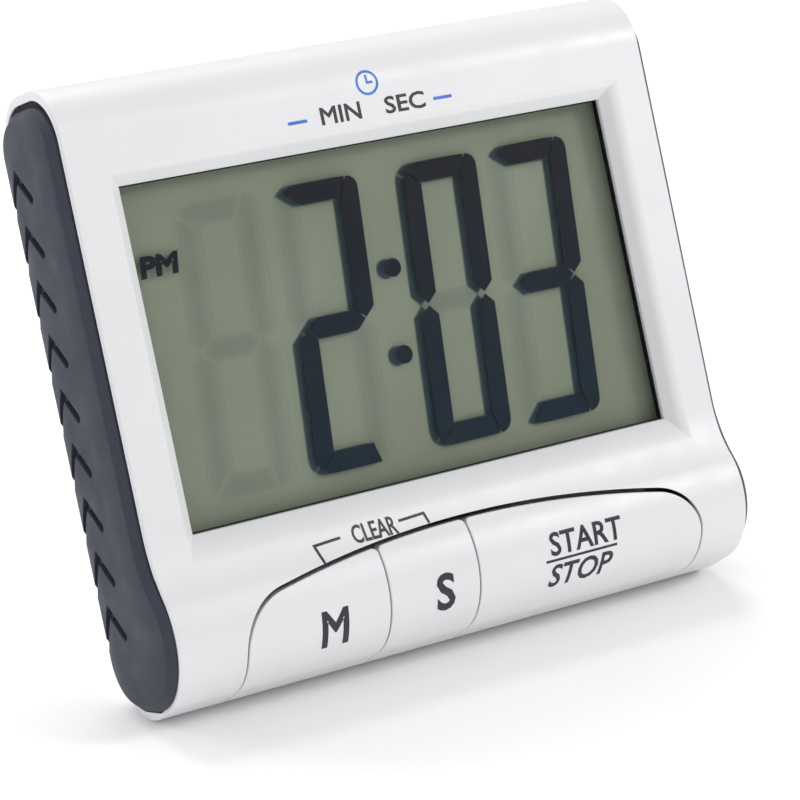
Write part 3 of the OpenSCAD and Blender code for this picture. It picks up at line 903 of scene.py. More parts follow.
REFLECTOR = (0.270, 0.306, 0.225)
TINT_HEIGHTS = (0.028, 0.066)
WHITE_A, WHITE_B = (0.700, 0.700, 0.719), (0.720, 0.720, 0.736)
SLATE_A, SLATE_B = (0.034, 0.038, 0.056), (0.038, 0.042, 0.0615)

FINISH = {
    "case_white": moulded("case_plastic", WHITE_A, WHITE_B, 0.38),
    "key_white": moulded("key_plastic", WHITE_A, WHITE_B, 0.36),
    "grip_slate": moulded("grip_rubber", SLATE_A, SLATE_B, 0.62, 9000, 5e-6, Specular_IOR_Level=0.35),
    "polarizer": clear_sheet("polarizer_film", (0.02, 0.022, 0.018), 0.07, 0.22),
    "lcd_glass": clear_sheet("display_glass", (0.05, 0.06, 0.055), 0.015, 0.05),
    "lcd_mark": lcd_mark("display_mark", (0.010, 0.011, 0.018), (0.008, 0.020, 0.034)),
    "reflector": display_back(),
    "holder_plastic": moulded("holder_plastic", (0.62, 0.61, 0.56), (0.66, 0.65, 0.6), 0.5),
    # The rubber's finish also colours the black bands painted in as shade round the window, the display and
    # the grips.
    "zebra_rubber": moulded("contact_rubber_and_painted_shade", (0.010, 0.010, 0.012), (0.018, 0.018, 0.021), 0.7, 6000, 6e-6,
                            Specular_IOR_Level=0.2),
    "board_green": circuit_board(),
    "epoxy_black": moulded("chip_epoxy", (0.012, 0.012, 0.012), (0.02, 0.02, 0.02), 0.35, 3000, 1e-5),
    "capacitor_sleeve": moulded("capacitor_sleeve", (0.03, 0.045, 0.16), (0.04, 0.055, 0.2), 0.35),
    "bright_steel": metal("spring_steel", (0.62, 0.62, 0.63), (0.7, 0.7, 0.71), 0.22, (0.05, 1, 1)),
    "screw_steel": metal("screw_steel", (0.5, 0.5, 0.51), (0.6, 0.6, 0.6), 0.3),
    "brass_disc": metal("brass_plate", (0.66, 0.44, 0.16), (0.72, 0.5, 0.2), 0.25, (1, 1, 0.05)),
    "ceramic_disc": moulded("ceramic_disc", (0.75, 0.74, 0.7), (0.8, 0.79, 0.76), 0.6, 8000, 5e-6),
    "silicone": moulded("silicone_sheet", (0.5, 0.5, 0.53), (0.56, 0.56, 0.59), 0.55, 5000, 4e-6),
    "cell_jacket": cell_jacket(),
    "magnet_ferrite": moulded("ferrite", (0.03, 0.03, 0.032), (0.055, 0.055, 0.058), 0.5, 4000, 1.2e-5),
    "switch_black": moulded("switch_plastic", (0.02, 0.02, 0.023), (0.03, 0.03, 0.034), 0.45),
}
BLACK_INK = moulded("black_ink", (0.012, 0.012, 0.018), (0.022, 0.022, 0.03), 0.45, 6000, 3e-6, 400)
BLUE_INK = moulded("blue_ink", (0.022, 0.12, 0.50), (0.045, 0.19, 0.60), 0.45, 6000, 3e-6, 400)
# The first tint serves the faint unlit bars and the painted shadows of the unlit bars; the other two are
# painted shadows of the lit bars.
GHOST_AND_PAINTED_SHADE_TINT = lcd_mark("display_ghost_and_painted_shadow", (0.04, 0.09, 0.16), (0.04, 0.10, 0.18), Alpha=0.019)
PAINTED_SHADOW_TINT = lcd_mark("display_painted_shadow", (0.03, 0.08, 0.13), (0.03, 0.09, 0.15), Alpha=0.25)
PAINTED_SHADOW_CORE_TINT = lcd_mark("display_painted_shadow_core", (0.03, 0.08, 0.13), (0.03, 0.09, 0.15), Alpha=0.2)
WIRES = {"battery_wires": wire_sleeve("battery_wire_sleeves", 0.0),
         "buzzer_wires": wire_sleeve("buzzer_wire_sleeves", 0.0319)}

# ---------------------------------------------------------------- camera, floor and lights
AIM = Vector((1.9, 0.0, 31.3)) * MM
AZIMUTH, ELEVATION, DISTANCE = -31.28, 22.39, 0.42054
LENS, SENSOR = 135.0, 36.0
FLOOR_HALF = 4.0
LIT_AT = Vector((0, 0, 0.04))
WORLD_STRENGTH = 0.65
SUN_AZIMUTH, SUN_ELEVATION, SUN_WIDTH, SUN_STRENGTH = 178, 52, 50, 1.6
PLAIN_LIGHT, WARM_LIGHT = (1, 1, 1), (1.0, 0.985, 0.965)
# Name, azimuth, elevation, distance, size, power, colour, and whether it shows in reflections.
AREA_LIGHTS = (
    ("right_light", 50, 35, 0.9, 0.25, 2.6, WARM_LIGHT, True),
    ("left_light", -130, 20, 0.8, 0.25, 1.4, PLAIN_LIGHT, False),
    ("low_light", 0, 2, 0.9, 0.5, 1.2, PLAIN_LIGHT, False),
)


def direction(azimuth, elevation):
    """The way to look for something, in degrees. Azimuth 0 is straight in front, 90 to the timer's right."""
    a, e = math.radians(azimuth), math.radians(elevation)
    return Vector((math.sin(a) * math.cos(e), -math.cos(a) * math.cos(e), math.sin(e)))


def aimed(made, away, centre=Vector(), distance=0.0):
    """Puts a camera or light at a distance from a point, facing it."""
    made.location = centre + away * distance
    made.rotation_euler = away.to_track_quat("Z", "Y").to_euler()


def make_camera():
    data = bpy.data.cameras.new("camera")
    data.lens, data.sensor_width = LENS, SENSOR
    data.clip_start, data.clip_end = 0.01, 10
    camera = linked("camera", data)
    aimed(camera, direction(AZIMUTH, ELEVATION), AIM, DISTANCE)
    bpy.context.scene.camera = camera


def make_floor():
    made = material("floor_white", (0.95, 0.95, 0.95), 0.9)
    tinted(made, place_noise(made, 3, 2), (0.945, 0.945, 0.945), (0.965, 0.965, 0.965))
    mesh = bpy.data.meshes.new("floor")
    corners = [(x, y, 0) for x, y in rectangle((-FLOOR_HALF, -FLOOR_HALF), (FLOOR_HALF, FLOOR_HALF))]
    mesh.from_pydata(corners, [], [(0, 1, 2, 3)])
    mesh.materials.append(made)
    linked("floor", mesh)


def make_lights():
    world = bpy.data.worlds.new("studio")
    world.use_nodes = True
    background = world.node_tree.nodes["Background"]
    background.inputs["Color"].default_value = (0.98, 0.99, 1, 1)
    background.inputs["Strength"].default_value = WORLD_STRENGTH
    bpy.context.scene.world = world
    bpy.context.scene.view_settings.view_transform = "Standard"
    bpy.context.scene.cycles.transparent_max_bounces = 32
    for name, azimuth, elevation, distance, size, power, colour, mirrored in AREA_LIGHTS:
        data = bpy.data.lights.new(name, "AREA")
        data.shape, data.size = "SQUARE", size
        data.energy, data.color = power, colour
        light = linked(name, data)
        light.visible_glossy = mirrored
        aimed(light, direction(azimuth, elevation), LIT_AT, distance)
    data = bpy.data.lights.new("back_light", "SUN")
    data.energy, data.angle = SUN_STRENGTH, math.radians(SUN_WIDTH)
    aimed(linked("back_light", data), direction(SUN_AZIMUTH, SUN_ELEVATION))


make_camera()
make_floor()
make_lights()


# ---------------------------------------------------------------- the front shell
KEY_BORDER_Y, KEY_BORDER_R = 7.3, 0.13
INNER_DEPTH = 1.8
LIP_DRAFT = 0.75
RIM_R, SEAM_R = 0.4, 0.15
KEY_FRONT = (FRONT.s_of("z", -24.0, *FRONT_DOWN), FRONT_END)
KEY_WALLS = (FRONT.s_of("z", -28.0, *FRONT_DOWN), FRONT_END)
RECESS = outline(GRIP, -0.25)


def key_outline(half_w, top, corner_r, low_y, x0=-FAR, x1=FAR):
    """A shallow crown with round shoulders, laid on the front section down to depth low_y. A key
    that ends at x0 or x1 has a small round corner there."""
    centre = top - KEY_CROWN_R
    shoulder_x = half_w - corner_r
    shoulder_z = centre + math.sqrt((KEY_CROWN_R - corner_r) ** 2 - shoulder_x ** 2)
    turn = math.atan2(shoulder_z - centre, shoulder_x)
    crown = np.concatenate([
        arc((shoulder_x, shoulder_z), corner_r, 0, turn),
        arc((0, centre), KEY_CROWN_R, turn, math.pi - turn, math.radians(0.8))[1:-1],
        arc((-shoulder_x, shoulder_z), corner_r, math.pi - turn, math.pi),
    ])
    crown[:, 0] += KEY_X
    x0, x1 = max(x0, crown[:, 0].min()), min(x1, crown[:, 0].max())
    r = KEY_NICK_R
    nick_in, nick_out = (r if x1 < crown[0, 0] else 0), (r if x0 > crown[-1, 0] else 0)
    kept = crown[(crown[:, 0] > x0 + nick_out + 0.05) & (crown[:, 0] < x1 - nick_in - 0.05)]

    def edge_z(x):
        return float(np.interp(x, crown[::-1, 0], crown[::-1, 1]))

    first, last = [(x1, crown[0, 1])], [(x0, crown[-1, 1])]
    if nick_in:
        first = arc((x1 - r, edge_z(x1 - r) - r), r, 0, math.pi / 2, math.radians(15))
    if nick_out:
        last = arc((x0 + r, edge_z(x0 + r) - r), r, math.pi / 2, math.pi, math.radians(15))
    row = np.concatenate([first, kept, last])
    row = np.c_[row[:, 0], FRONT.s_of("z", row[:, 1], *KEY_FRONT)]
    low = FRONT.s_of("y", low_y, *KEY_FRONT)
    return np.concatenate([[(x1, low)], row, [(x0, low)]])


def shell_limits(section):
    """The ends of a case shell, and its seam with the other one."""
    length = section.length[-1]
    ends = limit((-END_X, -1), (END_X, length + 1), fillet(RIM_R))
    return ends, limit((-END_X - 1, 0), (END_X + 1, length), fillet(SEAM_R, 2))


def shell_ends(into, in_front):
    """The rims of a shell's two ends, the seats of the grips in them, and the seam's face."""
    def mine(points):
        return (points[:, 0] < SPLIT_Y) == in_front

    rim, inner = outline(CASE, RIM_R), outline(CASE, INNER_DEPTH)
    parting = [[(SPLIT_Y, -60), (SPLIT_Y, 60)]]
    recess = crossed(RECESS, SPLIT_Y)
    for side in (-1, 1):
        end, seat = facing_side(side * END_X, side), facing_side(side * RECESS_X, side)
        flat_face(into, end, rim, [recess], parting, mine)
        flat_face(into, seat, recess, lines=parting, mine=mine)
        flat_face(into, facing_side(side * INNER_X, -side), inner, lines=parting, mine=mine)
        side_wall(into, recess, end, seat, -1, lambda middle: mine(middle[None])[0])
    heights = [extent_at(loop, SPLIT_Y) for loop in (outline(CASE, SEAM_R), inner, recess)]
    (low, high), (in_low, in_high), (seat_low, seat_high) = heights
    outer_box = rectangle((-END_X, low), (END_X, high))
    inner_box = rectangle((-INNER_X, in_low), (INNER_X, in_high))
    seats = [rectangle((s * RECESS_X, seat_low), (s * (END_X + 1), seat_high)) for s in (1, -1)]
    flat_face(into, (facing_back if in_front else facing_front)(SPLIT_Y), outer_box, [inner_box, *seats])


def make_front_case():
    ends, seam = shell_limits(FRONT)
    half_w, half_h = WINDOW[0] / 2, WINDOW[1] / 2
    top, low = FRONT.s_of("z", [half_h, -half_h], *FRONT_DOWN)
    edges = [slope(WINDOW_SLOPE, RIGHT_SHOULDER), eased(WINDOW_SLOPE, UNDER_WIDTH),
             slope(WINDOW_SLOPE, LEFT_SHOULDER), slope(WINDOW_SLOPE, OVER_SHOULDER)]
    window = FramedCut((-half_w, top), (half_w, low), edges)
    keys = Cut(key_outline(KEY_HALF_W, KEY_TOP_Z, KEY_CORNER_R, KEY_BORDER_Y), fillet(KEY_BORDER_R, 3))
    skin = Skin()
    surface = Rolled(FRONT, KEY_WALLS, LIP_DRAFT)
    panel = Panel(surface, [ends, seam, window, keys])
    panel.skin(skin)
    panel.wall(skin, window, to_y=LCD_Y)
    panel.wall(skin, keys, depth=INNER_DEPTH)
    inner_ends = limit((-INNER_X, 0), (INNER_X, FRONT_END))
    bezel = Cut(grown(window.loop, BEZEL_W), boxed=True)
    Panel(surface, [inner_ends, bezel, Cut(keys.loop)]).back(skin, INNER_DEPTH)
    opening = rectangle((-half_w, -half_h), (half_w, half_h))
    rim = grown(opening, BEZEL_W)
    flat_face(skin, facing_back(LCD_Y), rim, [opening])
    side_wall(skin, rim, facing_back(FRONT_Y + INNER_DEPTH), facing_back(LCD_Y))
    shell_ends(skin, in_front=True)
    piece(skin, "front_shell", "case", "case_white", "front_case")


# ---------------------------------------------------------------- the keys
KEY_FILLET = 0.16
STEM_Z, STEM_R, STEM_START, STEM_Y = -34.6, 2.2, KEY_WALL * 0.7, 1.75
ROD_AT = (5.8, -42.2)
KNUCKLE_R, KNUCKLE_HOLE, KNUCKLE_W = 2.1, 0.95, 1.8
KNUCKLE_CLEAR, KNUCKLE_INSET = (1.6, 0.4), (0.5, 2.5)
KEYS = (("minutes_key", -FAR, KEY_DIVIDES[0] - KEY_GAP / 2, -25.4),
        ("seconds_key", KEY_DIVIDES[0] + KEY_GAP / 2, KEY_DIVIDES[1] - KEY_GAP / 2, -6.6),
        ("start_stop_key", KEY_DIVIDES[1] + KEY_GAP / 2, FAR, 19.2))


def make_key(body, x0, x1, stem_x):
    """A key's cap from x0 to x1, with the stem behind it and the two knuckles that turn on the rod."""
    cut = Cut(key_outline(KEY_HALF_W - KEY_GAP, KEY_TOP_Z - KEY_TOP_GAP, KEY_CORNER_R - KEY_GAP,
                          KEY_SKIRT_Y, x0, x1), fillet(KEY_FILLET), outer=True)
    panel = Panel(Rolled(FRONT, KEY_WALLS), [cut])
    skin = Skin()
    panel.skin(skin)
    panel.back(skin, KEY_WALL)
    panel.wall(skin, cut, depth=KEY_WALL)
    face_y = FRONT.at(FRONT.s_of("z", STEM_Z, *KEY_FRONT))[0]
    rod(skin, (stem_x, face_y + STEM_START, STEM_Z), (stem_x, STEM_Y, STEM_Z), STEM_R)
    left = max(x0, KEY_X - KEY_HALF_W + KNUCKLE_CLEAR[0]) + KNUCKLE_INSET[0]
    right = min(x1, KEY_X + KEY_HALF_W - KNUCKLE_CLEAR[1]) - KNUCKLE_INSET[1]
    for x in (left, right):
        rod(skin, (x, *ROD_AT), (x + KNUCKLE_W, *ROD_AT), KNUCKLE_R, KNUCKLE_HOLE)
    piece(skin, body + "_cap", body, "key_white", body)


# ---------------------------------------------------------------- the rear shell
INNER_Y = BACK_Y - INNER_DEPTH
BEND_END = BACK.s_of("z", CASE_LOW_BACK[1], 0, BACK_END)
WELL_HALF, WELL_TOP_Z, WELL_FLOOR_Y = 19.3, 2.2, 12.4
WELL_SIDE, WELL_SKIN, WELL_RISE = 2.0, 1.2, 0.2
BAY, BAY_FLOOR_Y, BAY_BACK_Y, BAY_WALL = rectangle((-25.2, 5.6), (25.2, 16.8)), 3.95, 3.35, 1.0
DOOR_SEAT, DOOR_SEAT_Y = grown(BAY, 0.6), 15.1
TAB_SLOT = rectangle((5.4, 7.4), (8.6, 8.2))
SCREWS_AT = ((-36, 32.2), (36, 32.2), (-39.9, -37.4), (39.9, -37.4))
SCREW_SEAT_R, SCREW_SEAT_Y, SCREW_HOLE_R, SCREW_BOSS_R = 2.4, 13.2, 1.2, 2.7
MAGNETS_AT = ((-34, 22.5), (34, 22.5))
MAGNET_R, MAGNET_SEAT_R, MAGNET_SEAT_Y, MAGNET_BOSS_R, MAGNET_BOSS_Y = 6.0, 6.1, 13.6, 7.2, 12.4
SOUND_AT, SOUND_HOLE_R, SOUND_RING_R, SOUND_EDGE = (32.6, -15.0), 0.7, 3.0, fillet(0.12, 2)
SOUND_HOLES_AT = [SOUND_AT, *circle(SOUND_AT, SOUND_RING_R, math.radians(60))]
BUZZER_SEAT = ((9.7, INNER_Y), (9.7, 12.3), (8.7, 12.3), (8.7, 12.9), (7.2, 12.9), (7.2, INNER_Y))
SWITCH_SEAT, SWITCH_SEAT_Y = ((-34.6, -27.2), (-25.4, -22.8)), 15.1
SWITCH_SLOT = rectangle((-33.2, -26.2), (-26.8, -23.8))
HOLE_STEP = math.radians(15)
BACKWARDS = (0, 1, 0)


def on_back(loop):
    """A loop of width and height laid on the back section's plan."""
    return np.c_[loop[:, 0], BACK.s_of("z", loop[:, 1], 0, BACK_END)]


def round_cuts(places, radius, edge=SHARP, step=math.radians(8)):
    return [Cut(on_back(circle(at, radius, step)), edge) for at in places]


def bay_walls(into):
    """The battery bay: walls and floor inside and out, with a slot at each end for a contact's tab."""
    outside = grown(BAY, BAY_WALL)
    flat_face(into, facing_back(BAY_FLOOR_Y), BAY)
    flat_face(into, facing_front(BAY_BACK_Y), outside)
    ways = ((BAY, BAY_FLOOR_Y, DOOR_SEAT_Y, -1), (outside, BAY_BACK_Y, INNER_Y, 1))
    for loop, low_y, high_y, sign in ways:
        side_wall(into, loop, facing_back(high_y), facing_back(low_y), sign, keep=lambda m: abs(m[0]) < 1)
        end = rectangle((low_y, loop[:, 1].min()), (high_y, loop[:, 1].max()))
        for side in (-1, 1):
            flat_face(into, facing_side(side * loop[:, 0].max(), side * sign), end, [TAB_SLOT])
    for side in (-1, 1):
        within, without = [facing_side(side * loop[:, 0].max(), side) for loop in (BAY, outside)]
        side_wall(into, TAB_SLOT, within, without, -1)


def well_box(into):
    """The inner side of the stand's well: a box that meets the lining of the rounded bottom."""
    half, front = WELL_HALF + WELL_SIDE, WELL_FLOOR_Y - WELL_SKIN
    centre_y, centre_z, radius = CASE_LOW_BACK
    radius -= INNER_DEPTH
    turn = math.acos((front - centre_y) / radius)
    top = WELL_TOP_Z + WELL_SKIN
    side_face = np.concatenate([arc((centre_y, centre_z), radius, -turn, 0), [(INNER_Y, top), (front, top)]])
    for side in (-1, 1):
        flat_face(into, facing_side(side * half, side), side_face)
    low = side_face[0][1]
    flat_face(into, facing_front(front), rectangle((-half, low), (half, top)))
    rail = np.array([(-half, top), (half, top)])
    into.ribbon(facing_back(front).place(rail), facing_back(INNER_Y).place(rail), (0, 0, 1))
    low_y = centre_y + math.cos(turn) * CASE_LOW_BACK[2]
    return rectangle((-half, BACK.s_of("y", low_y, 0, BEND_END)), (half, BACK.s_of("z", top, 0, BACK_END)))


def make_rear_case():
    ends, seam = shell_limits(BACK)
    seat = Cut(on_back(DOOR_SEAT), SEAT_EDGE, boxed=True)
    well = Cut(rectangle((-WELL_HALF, BACK.s_of("y", WELL_FLOOR_Y + WELL_RISE, 0, BEND_END)),
                         (WELL_HALF, BACK.s_of("z", WELL_TOP_Z, 0, BACK_END))), SEAT_EDGE, boxed=True)
    magnets = round_cuts(MAGNETS_AT, MAGNET_SEAT_R, HOLE_EDGE)
    screws = round_cuts(SCREWS_AT, SCREW_SEAT_R, SEAT_EDGE)
    screw_holes = round_cuts(SCREWS_AT, SCREW_HOLE_R, step=HOLE_STEP)
    sounds = round_cuts(SOUND_HOLES_AT, SOUND_HOLE_R, SOUND_EDGE, HOLE_STEP)
    switch = Cut(on_back(rounded(*SWITCH_SEAT, 0.6)), HOLE_EDGE)
    bay, slot = Cut(on_back(BAY)), Cut(on_back(SWITCH_SLOT))
    skin = Skin()
    panel = Panel(Rolled(BACK), [ends, seam, seat, well, switch, bay, slot, *magnets, *screws, *sounds,
                                 *screw_holes])
    panel.skin(skin)
    sunk = [(seat, DOOR_SEAT_Y, [bay]), (well, WELL_FLOOR_Y, []), (switch, SWITCH_SEAT_Y, [slot])]
    sunk += [(cut, MAGNET_SEAT_Y, []) for cut in magnets]
    sunk += [(cut, SCREW_SEAT_Y, [hole]) for cut, hole in zip(screws, screw_holes)]
    for cut, to_y, holes in sunk:
        panel.recess(skin, [cut], to_y=to_y, holes=holes)
    for cut in sounds:
        panel.wall(skin, cut, depth=INNER_DEPTH)
    side_wall(skin, SWITCH_SLOT, facing_back(SWITCH_SEAT_Y), facing_back(INNER_Y), -1)
    bay_walls(skin)
    inner_ends = limit((-INNER_X, 0), (INNER_X, BACK_END))
    openings = [Cut(loop) for loop in (well_box(skin), on_back(grown(BAY, BAY_WALL)), slot.loop)]
    openings += round_cuts(SOUND_HOLES_AT, SOUND_HOLE_R, step=HOLE_STEP)
    openings += round_cuts(MAGNETS_AT, MAGNET_BOSS_R) + round_cuts(SCREWS_AT, SCREW_BOSS_R)
    Panel(Rolled(BACK), [inner_ends, *openings]).back(skin, INNER_DEPTH)
    boss = [(MAGNET_BOSS_R, INNER_Y), (MAGNET_BOSS_R, MAGNET_BOSS_Y), (0, MAGNET_BOSS_Y)]
    post = [(SCREW_BOSS_R, INNER_Y), (SCREW_BOSS_R, SPLIT_Y), (SCREW_HOLE_R, SPLIT_Y),
            (SCREW_HOLE_R, SCREW_SEAT_Y)]
    for places, profile in ((MAGNETS_AT, boss), (SCREWS_AT, post), ((SOUND_AT,), BUZZER_SEAT)):
        for x, z in places:
            lathe(skin, (x, 0, z), BACKWARDS, profile)
    shell_ends(skin, in_front=False)
    piece(skin, "rear_shell", "case", "case_white", "rear_case")


# ---------------------------------------------------------------- parts on the back
STAND_HALF_W, STAND_LEN, HINGE_AT = 18.6, 41.4, (14.5, -0.2)
LEAF_IN, LEAF_OUT, BARREL_R, PIN_R, FOOT_R = 1.1, 1.3, 1.75, 1.2, 1.3
LEAF_EDGE_R = 0.3
NOTCH, NOTCH_DEPTH = ((-8.0, -38.4), (8.0, -34.4)), 0.6
POCKET_DEPTH, POCKET_RIM, POCKET_RIB, POCKET_LOW = 0.8, 2.2, 1.4, -33.4
ROD_INSET, PIN_LEN = 0.06, 2.1


def make_stand():
    """The stand's leaf with its hinge barrel, pins, finger notch, round foot and pockets inside."""
    reach = (node_box("stand")[1][1] - FOOT_R - HINGE_AT[0]) / STAND_LEN
    turn = math.asin(reach)
    outwards = np.array([0, math.cos(turn), math.sin(turn)])
    up = np.array([0, -math.sin(turn), math.cos(turn)])
    hinge = np.array([0, *HINGE_AT])
    top = -math.sqrt(BARREL_R ** 2 - LEAF_OUT ** 2)
    limits = (-STAND_HALF_W, -STAND_LEN), (STAND_HALF_W, top)
    skin = Skin()
    edge = limit(*limits, fillet(LEAF_EDGE_R))
    notch = Cut(rounded(*NOTCH, 1.6), SEAT_EDGE)
    outer, inner = [Plane(hinge + way * depth, (1.0, 0, 0), up, way)
                    for way, depth in ((outwards, LEAF_OUT), (-outwards, LEAF_IN))]
    plate(skin, outer, edge, [notch], NOTCH_DEPTH, LEAF_OUT + LEAF_IN - LEAF_EDGE_R)
    room = (2 * (STAND_HALF_W - POCKET_RIM) - 2 * POCKET_RIB) / 3
    starts = [POCKET_RIM - STAND_HALF_W + k * (room + POCKET_RIB) for k in range(3)]
    pockets = [Cut(rounded((x, POCKET_LOW), (x + room, -BARREL_R - POCKET_RIM), 1.0), SEAT_EDGE)
               for x in starts]
    plate(skin, inner, edge, pockets, POCKET_DEPTH)
    foot = hinge - up * STAND_LEN
    across, inset = np.array([STAND_HALF_W, 0, 0]), np.array([ROD_INSET, 0, 0])
    rod(skin, hinge - across - inset, hinge + across + inset, BARREL_R, bevel=0.25)
    rod(skin, foot - across + inset, foot + across - inset, FOOT_R, bevel=0.25)
    for side in (-1, 1):
        rod(skin, hinge + side * across, hinge + side * (across + (PIN_LEN, 0, 0)), PIN_R)
    piece(skin, "stand_leaf", "stand", "case_white", "stand")


DOOR_LOW, DOOR_HIGH, DOOR_EDGE_R = (-25.65, 15.15, 5.15), (25.65, BACK_Y, 17.25), 0.25
MARK_DEPTH, MARK_HALF_W, MARK_R, MARK_PITCH = 0.4, 5.7, 0.3, 2.2
ARROW_TIP_X, ARROW_BASE_X, ARROW_HALF_H = 20.5, 17.5, 1.9
DOOR_RIBS_X, DOOR_RIB_W, DOOR_RIB_Y, DOOR_RIB_HALF_H = (-20.0, 18.5), 1.5, 14.7, 4


def make_door():
    """The battery door: three grip grooves and an arrow at each end outside, and two ribs inside."""
    low, high = DOOR_LOW, DOOR_HIGH
    middle = (low[2] + high[2]) / 2
    edge = limit((low[0], low[2]), (high[0], high[2]), fillet(DOOR_EDGE_R))
    loops = [capsule((-MARK_HALF_W, z), (MARK_HALF_W, z), MARK_R)
             for z in (middle - MARK_PITCH, middle, middle + MARK_PITCH)]
    for side in (-1, 1):
        loops.append([(side * ARROW_TIP_X, middle), (side * ARROW_BASE_X, middle + ARROW_HALF_H),
                      (side * ARROW_BASE_X, middle - ARROW_HALF_H)])
    marks = [Cut(loop, MARK_EDGE) for loop in loops]
    skin = Skin()
    plate(skin, facing_back(high[1]), edge, marks, MARK_DEPTH, high[1] - low[1])
    flat_face(skin, facing_front(low[1]), edge.loop)
    for x in DOOR_RIBS_X:
        block(skin, (x, DOOR_RIB_Y, middle - DOOR_RIB_HALF_H),
              (x + DOOR_RIB_W, low[1] + 0.02, middle + DOOR_RIB_HALF_H))
    piece(skin, "battery_door_panel", "battery_door", "case_white", "battery_door")


def make_cell():
    """The cell: a sleeve turned in over both ends, a dished end and the button. Its profile runs from the
    middle of the dished end, along the sleeve, to the middle of the button."""
    low, high = node_box("battery_cell")
    radius, middle = (high[2] - low[2]) / 2, (low + high) / 2
    end, button = high[0] - middle[0], low[0] - middle[0]
    profile = [(0, end - 0.35), (3.4, end - 0.35), (3.7, end - 0.1), (4.5, end), (radius - 0.25, end - 0.05),
               (radius, end - 0.35), (radius, end - 1.5), (radius - 0.06, end - 1.7),
               (radius - 0.06, button + 3.2), (radius, button + 3.0), (radius, button + 1.4),
               (radius - 0.3, button + 1.0), (4.3, button + 0.95), (4.1, button + 1.15), (2.3, button + 1.15),
               (1.9, button + 0.95), (1.9, button + 0.2), (1.7, button), (0, button)]
    skin = Skin()
    lathe(skin, middle, (1, 0, 0), profile)
    piece(skin, "cell_in_sleeve", "battery", "cell_jacket", "battery_cell")


MAGNET_TOP_Y, MAGNET_EDGE, DIMPLE_R, DIMPLE_DEPTH = BACK_Y - 0.1, 0.4, 1.5, 0.12


def make_magnets():
    """Two discs with a chamfered edge and a shallow dimple."""
    top, dimple = MAGNET_TOP_Y, MAGNET_TOP_Y - DIMPLE_DEPTH
    profile = [(0, dimple), (DIMPLE_R - 0.2, dimple), (DIMPLE_R, top), (MAGNET_R - MAGNET_EDGE, top),
               (MAGNET_R, top - MAGNET_EDGE), (MAGNET_R, MAGNET_SEAT_Y), (0, MAGNET_SEAT_Y)]
    skin = Skin()
    for x, z in MAGNETS_AT:
        lathe(skin, (x, 0, z), BACKWARDS, profile)
    piece(skin, "magnet_discs", "case", "magnet_ferrite", "magnets")


KNOB_STEM = ((0.9, 0.9), 9.0, 15.2)
KNOB_PLATE = ((1.6, 1.8), 13.1, 14.4)
KNOB_TOP, KNOB_TOP_Y, KNOB_TOP_DEPTH = np.array((1.4, 1.5)), 15.2, 1.0
KNOB_LINE, KNOB_LINE_PITCH, KNOB_LINE_DEPTH = np.array((0.16, 1.1)), 0.65, 0.3


def make_knob():
    """The mode switch's knob: a stem, a plate behind the slot, and a top with three lines cut in it."""
    low, high = node_box("mode_switch_knob")
    x, z = (low[0] + high[0]) / 2, (low[2] + high[2]) / 2
    skin = Skin()
    for (half_w, half_h), front_y, back_y in (KNOB_STEM, KNOB_PLATE):
        block(skin, (x - half_w, front_y, z - half_h), (x + half_w, back_y, z + half_h))
    edge = limit((x, z) - KNOB_TOP, (x, z) + KNOB_TOP, fillet(0.2))
    middles = [(x + KNOB_LINE_PITCH * k, z) for k in (-1, 0, 1)]
    lines = [Cut(rectangle(middle - KNOB_LINE, middle + KNOB_LINE)) for middle in middles]
    plate(skin, facing_back(high[1]), edge, lines, KNOB_LINE_DEPTH, KNOB_TOP_DEPTH)
    flat_face(skin, facing_front(KNOB_TOP_Y), edge.loop)
    piece(skin, "mode_switch_cap", "mode_switch", "switch_black", "mode_switch_knob")


# ---------------------------------------------------------------- the grips
GRIP_TOP_X, GRIP_BASE_X = 47.4, 44.45
GRIP_FACET, GRIP_FACET_DROP, GRIP_EDGE_DROP, GRIP_CROWN = 1.0, 0.5, 1.5, 5.2
GRIP_GAP, GRIP_LOWERED, GRIP_LOWER_FROM, GRIP_TOP_Z = 0.06, 0.62, 22.0, 36.2
# A thin black band round each grip, painted shade for the gap between grip and case: its outer face, and how
# far it spreads past the grip's outline.
GRIP_SHADE_BAND_X, GRIP_SHADE_BAND_OUT = 45.35, 0.2
CHEVRONS, CHEVRON_TOP, CHEVRON_PITCH, CHEVRON_DEPTH, CHEVRON_EDGE = 9, 28.0, 7.35, 0.85, fillet(0.16, 3)
CHEVRON_FRONT, CHEVRON_BEND, CHEVRON_BACK, CHEVRON_R = (7.5, -3.95), (11.15, -0.55), (14.9, -5.3), 0.62


def grip_edge():
    """A flat 45 degree facet round the border, then a face that rises gently to its middle."""
    across = np.linspace(GRIP_FACET, GRIP_CROWN, 6)
    left = (GRIP_CROWN - across) / (GRIP_CROWN - GRIP_FACET)
    drops = GRIP_FACET_DROP * left ** 2
    tilts = FLAT - np.arctan(2 * GRIP_FACET_DROP * left / (GRIP_CROWN - GRIP_FACET))
    facet = math.atan2(GRIP_FACET, GRIP_EDGE_DROP - GRIP_FACET_DROP)
    start = [[0, GRIP_EDGE_DROP, facet], [GRIP_FACET - 1e-4, GRIP_FACET_DROP, facet]]
    return np.concatenate([start, np.c_[across, drops, tilts]])


def pad_outline():
    """The grip's border: a little inside its seat, and lower at the top."""
    loop = outline(GRIP, GRIP_GAP)
    share = np.clip((loop[:, 1] - GRIP_LOWER_FROM) / (GRIP_TOP_Z - GRIP_LOWER_FROM), 0, 1)
    loop[:, 1] -= GRIP_LOWERED * share ** 2
    return loop


def slab(into, loop, side, top_x, base_x, capped=True):
    """The wall and base of a flat piece on an end of the case, and its top where it is capped."""
    top, base = facing_side(side * top_x, side), facing_side(side * base_x, -side)
    side_wall(into, loop, top, base)
    for plane in (base, top) if capped else (base,):
        flat_face(into, plane, loop)


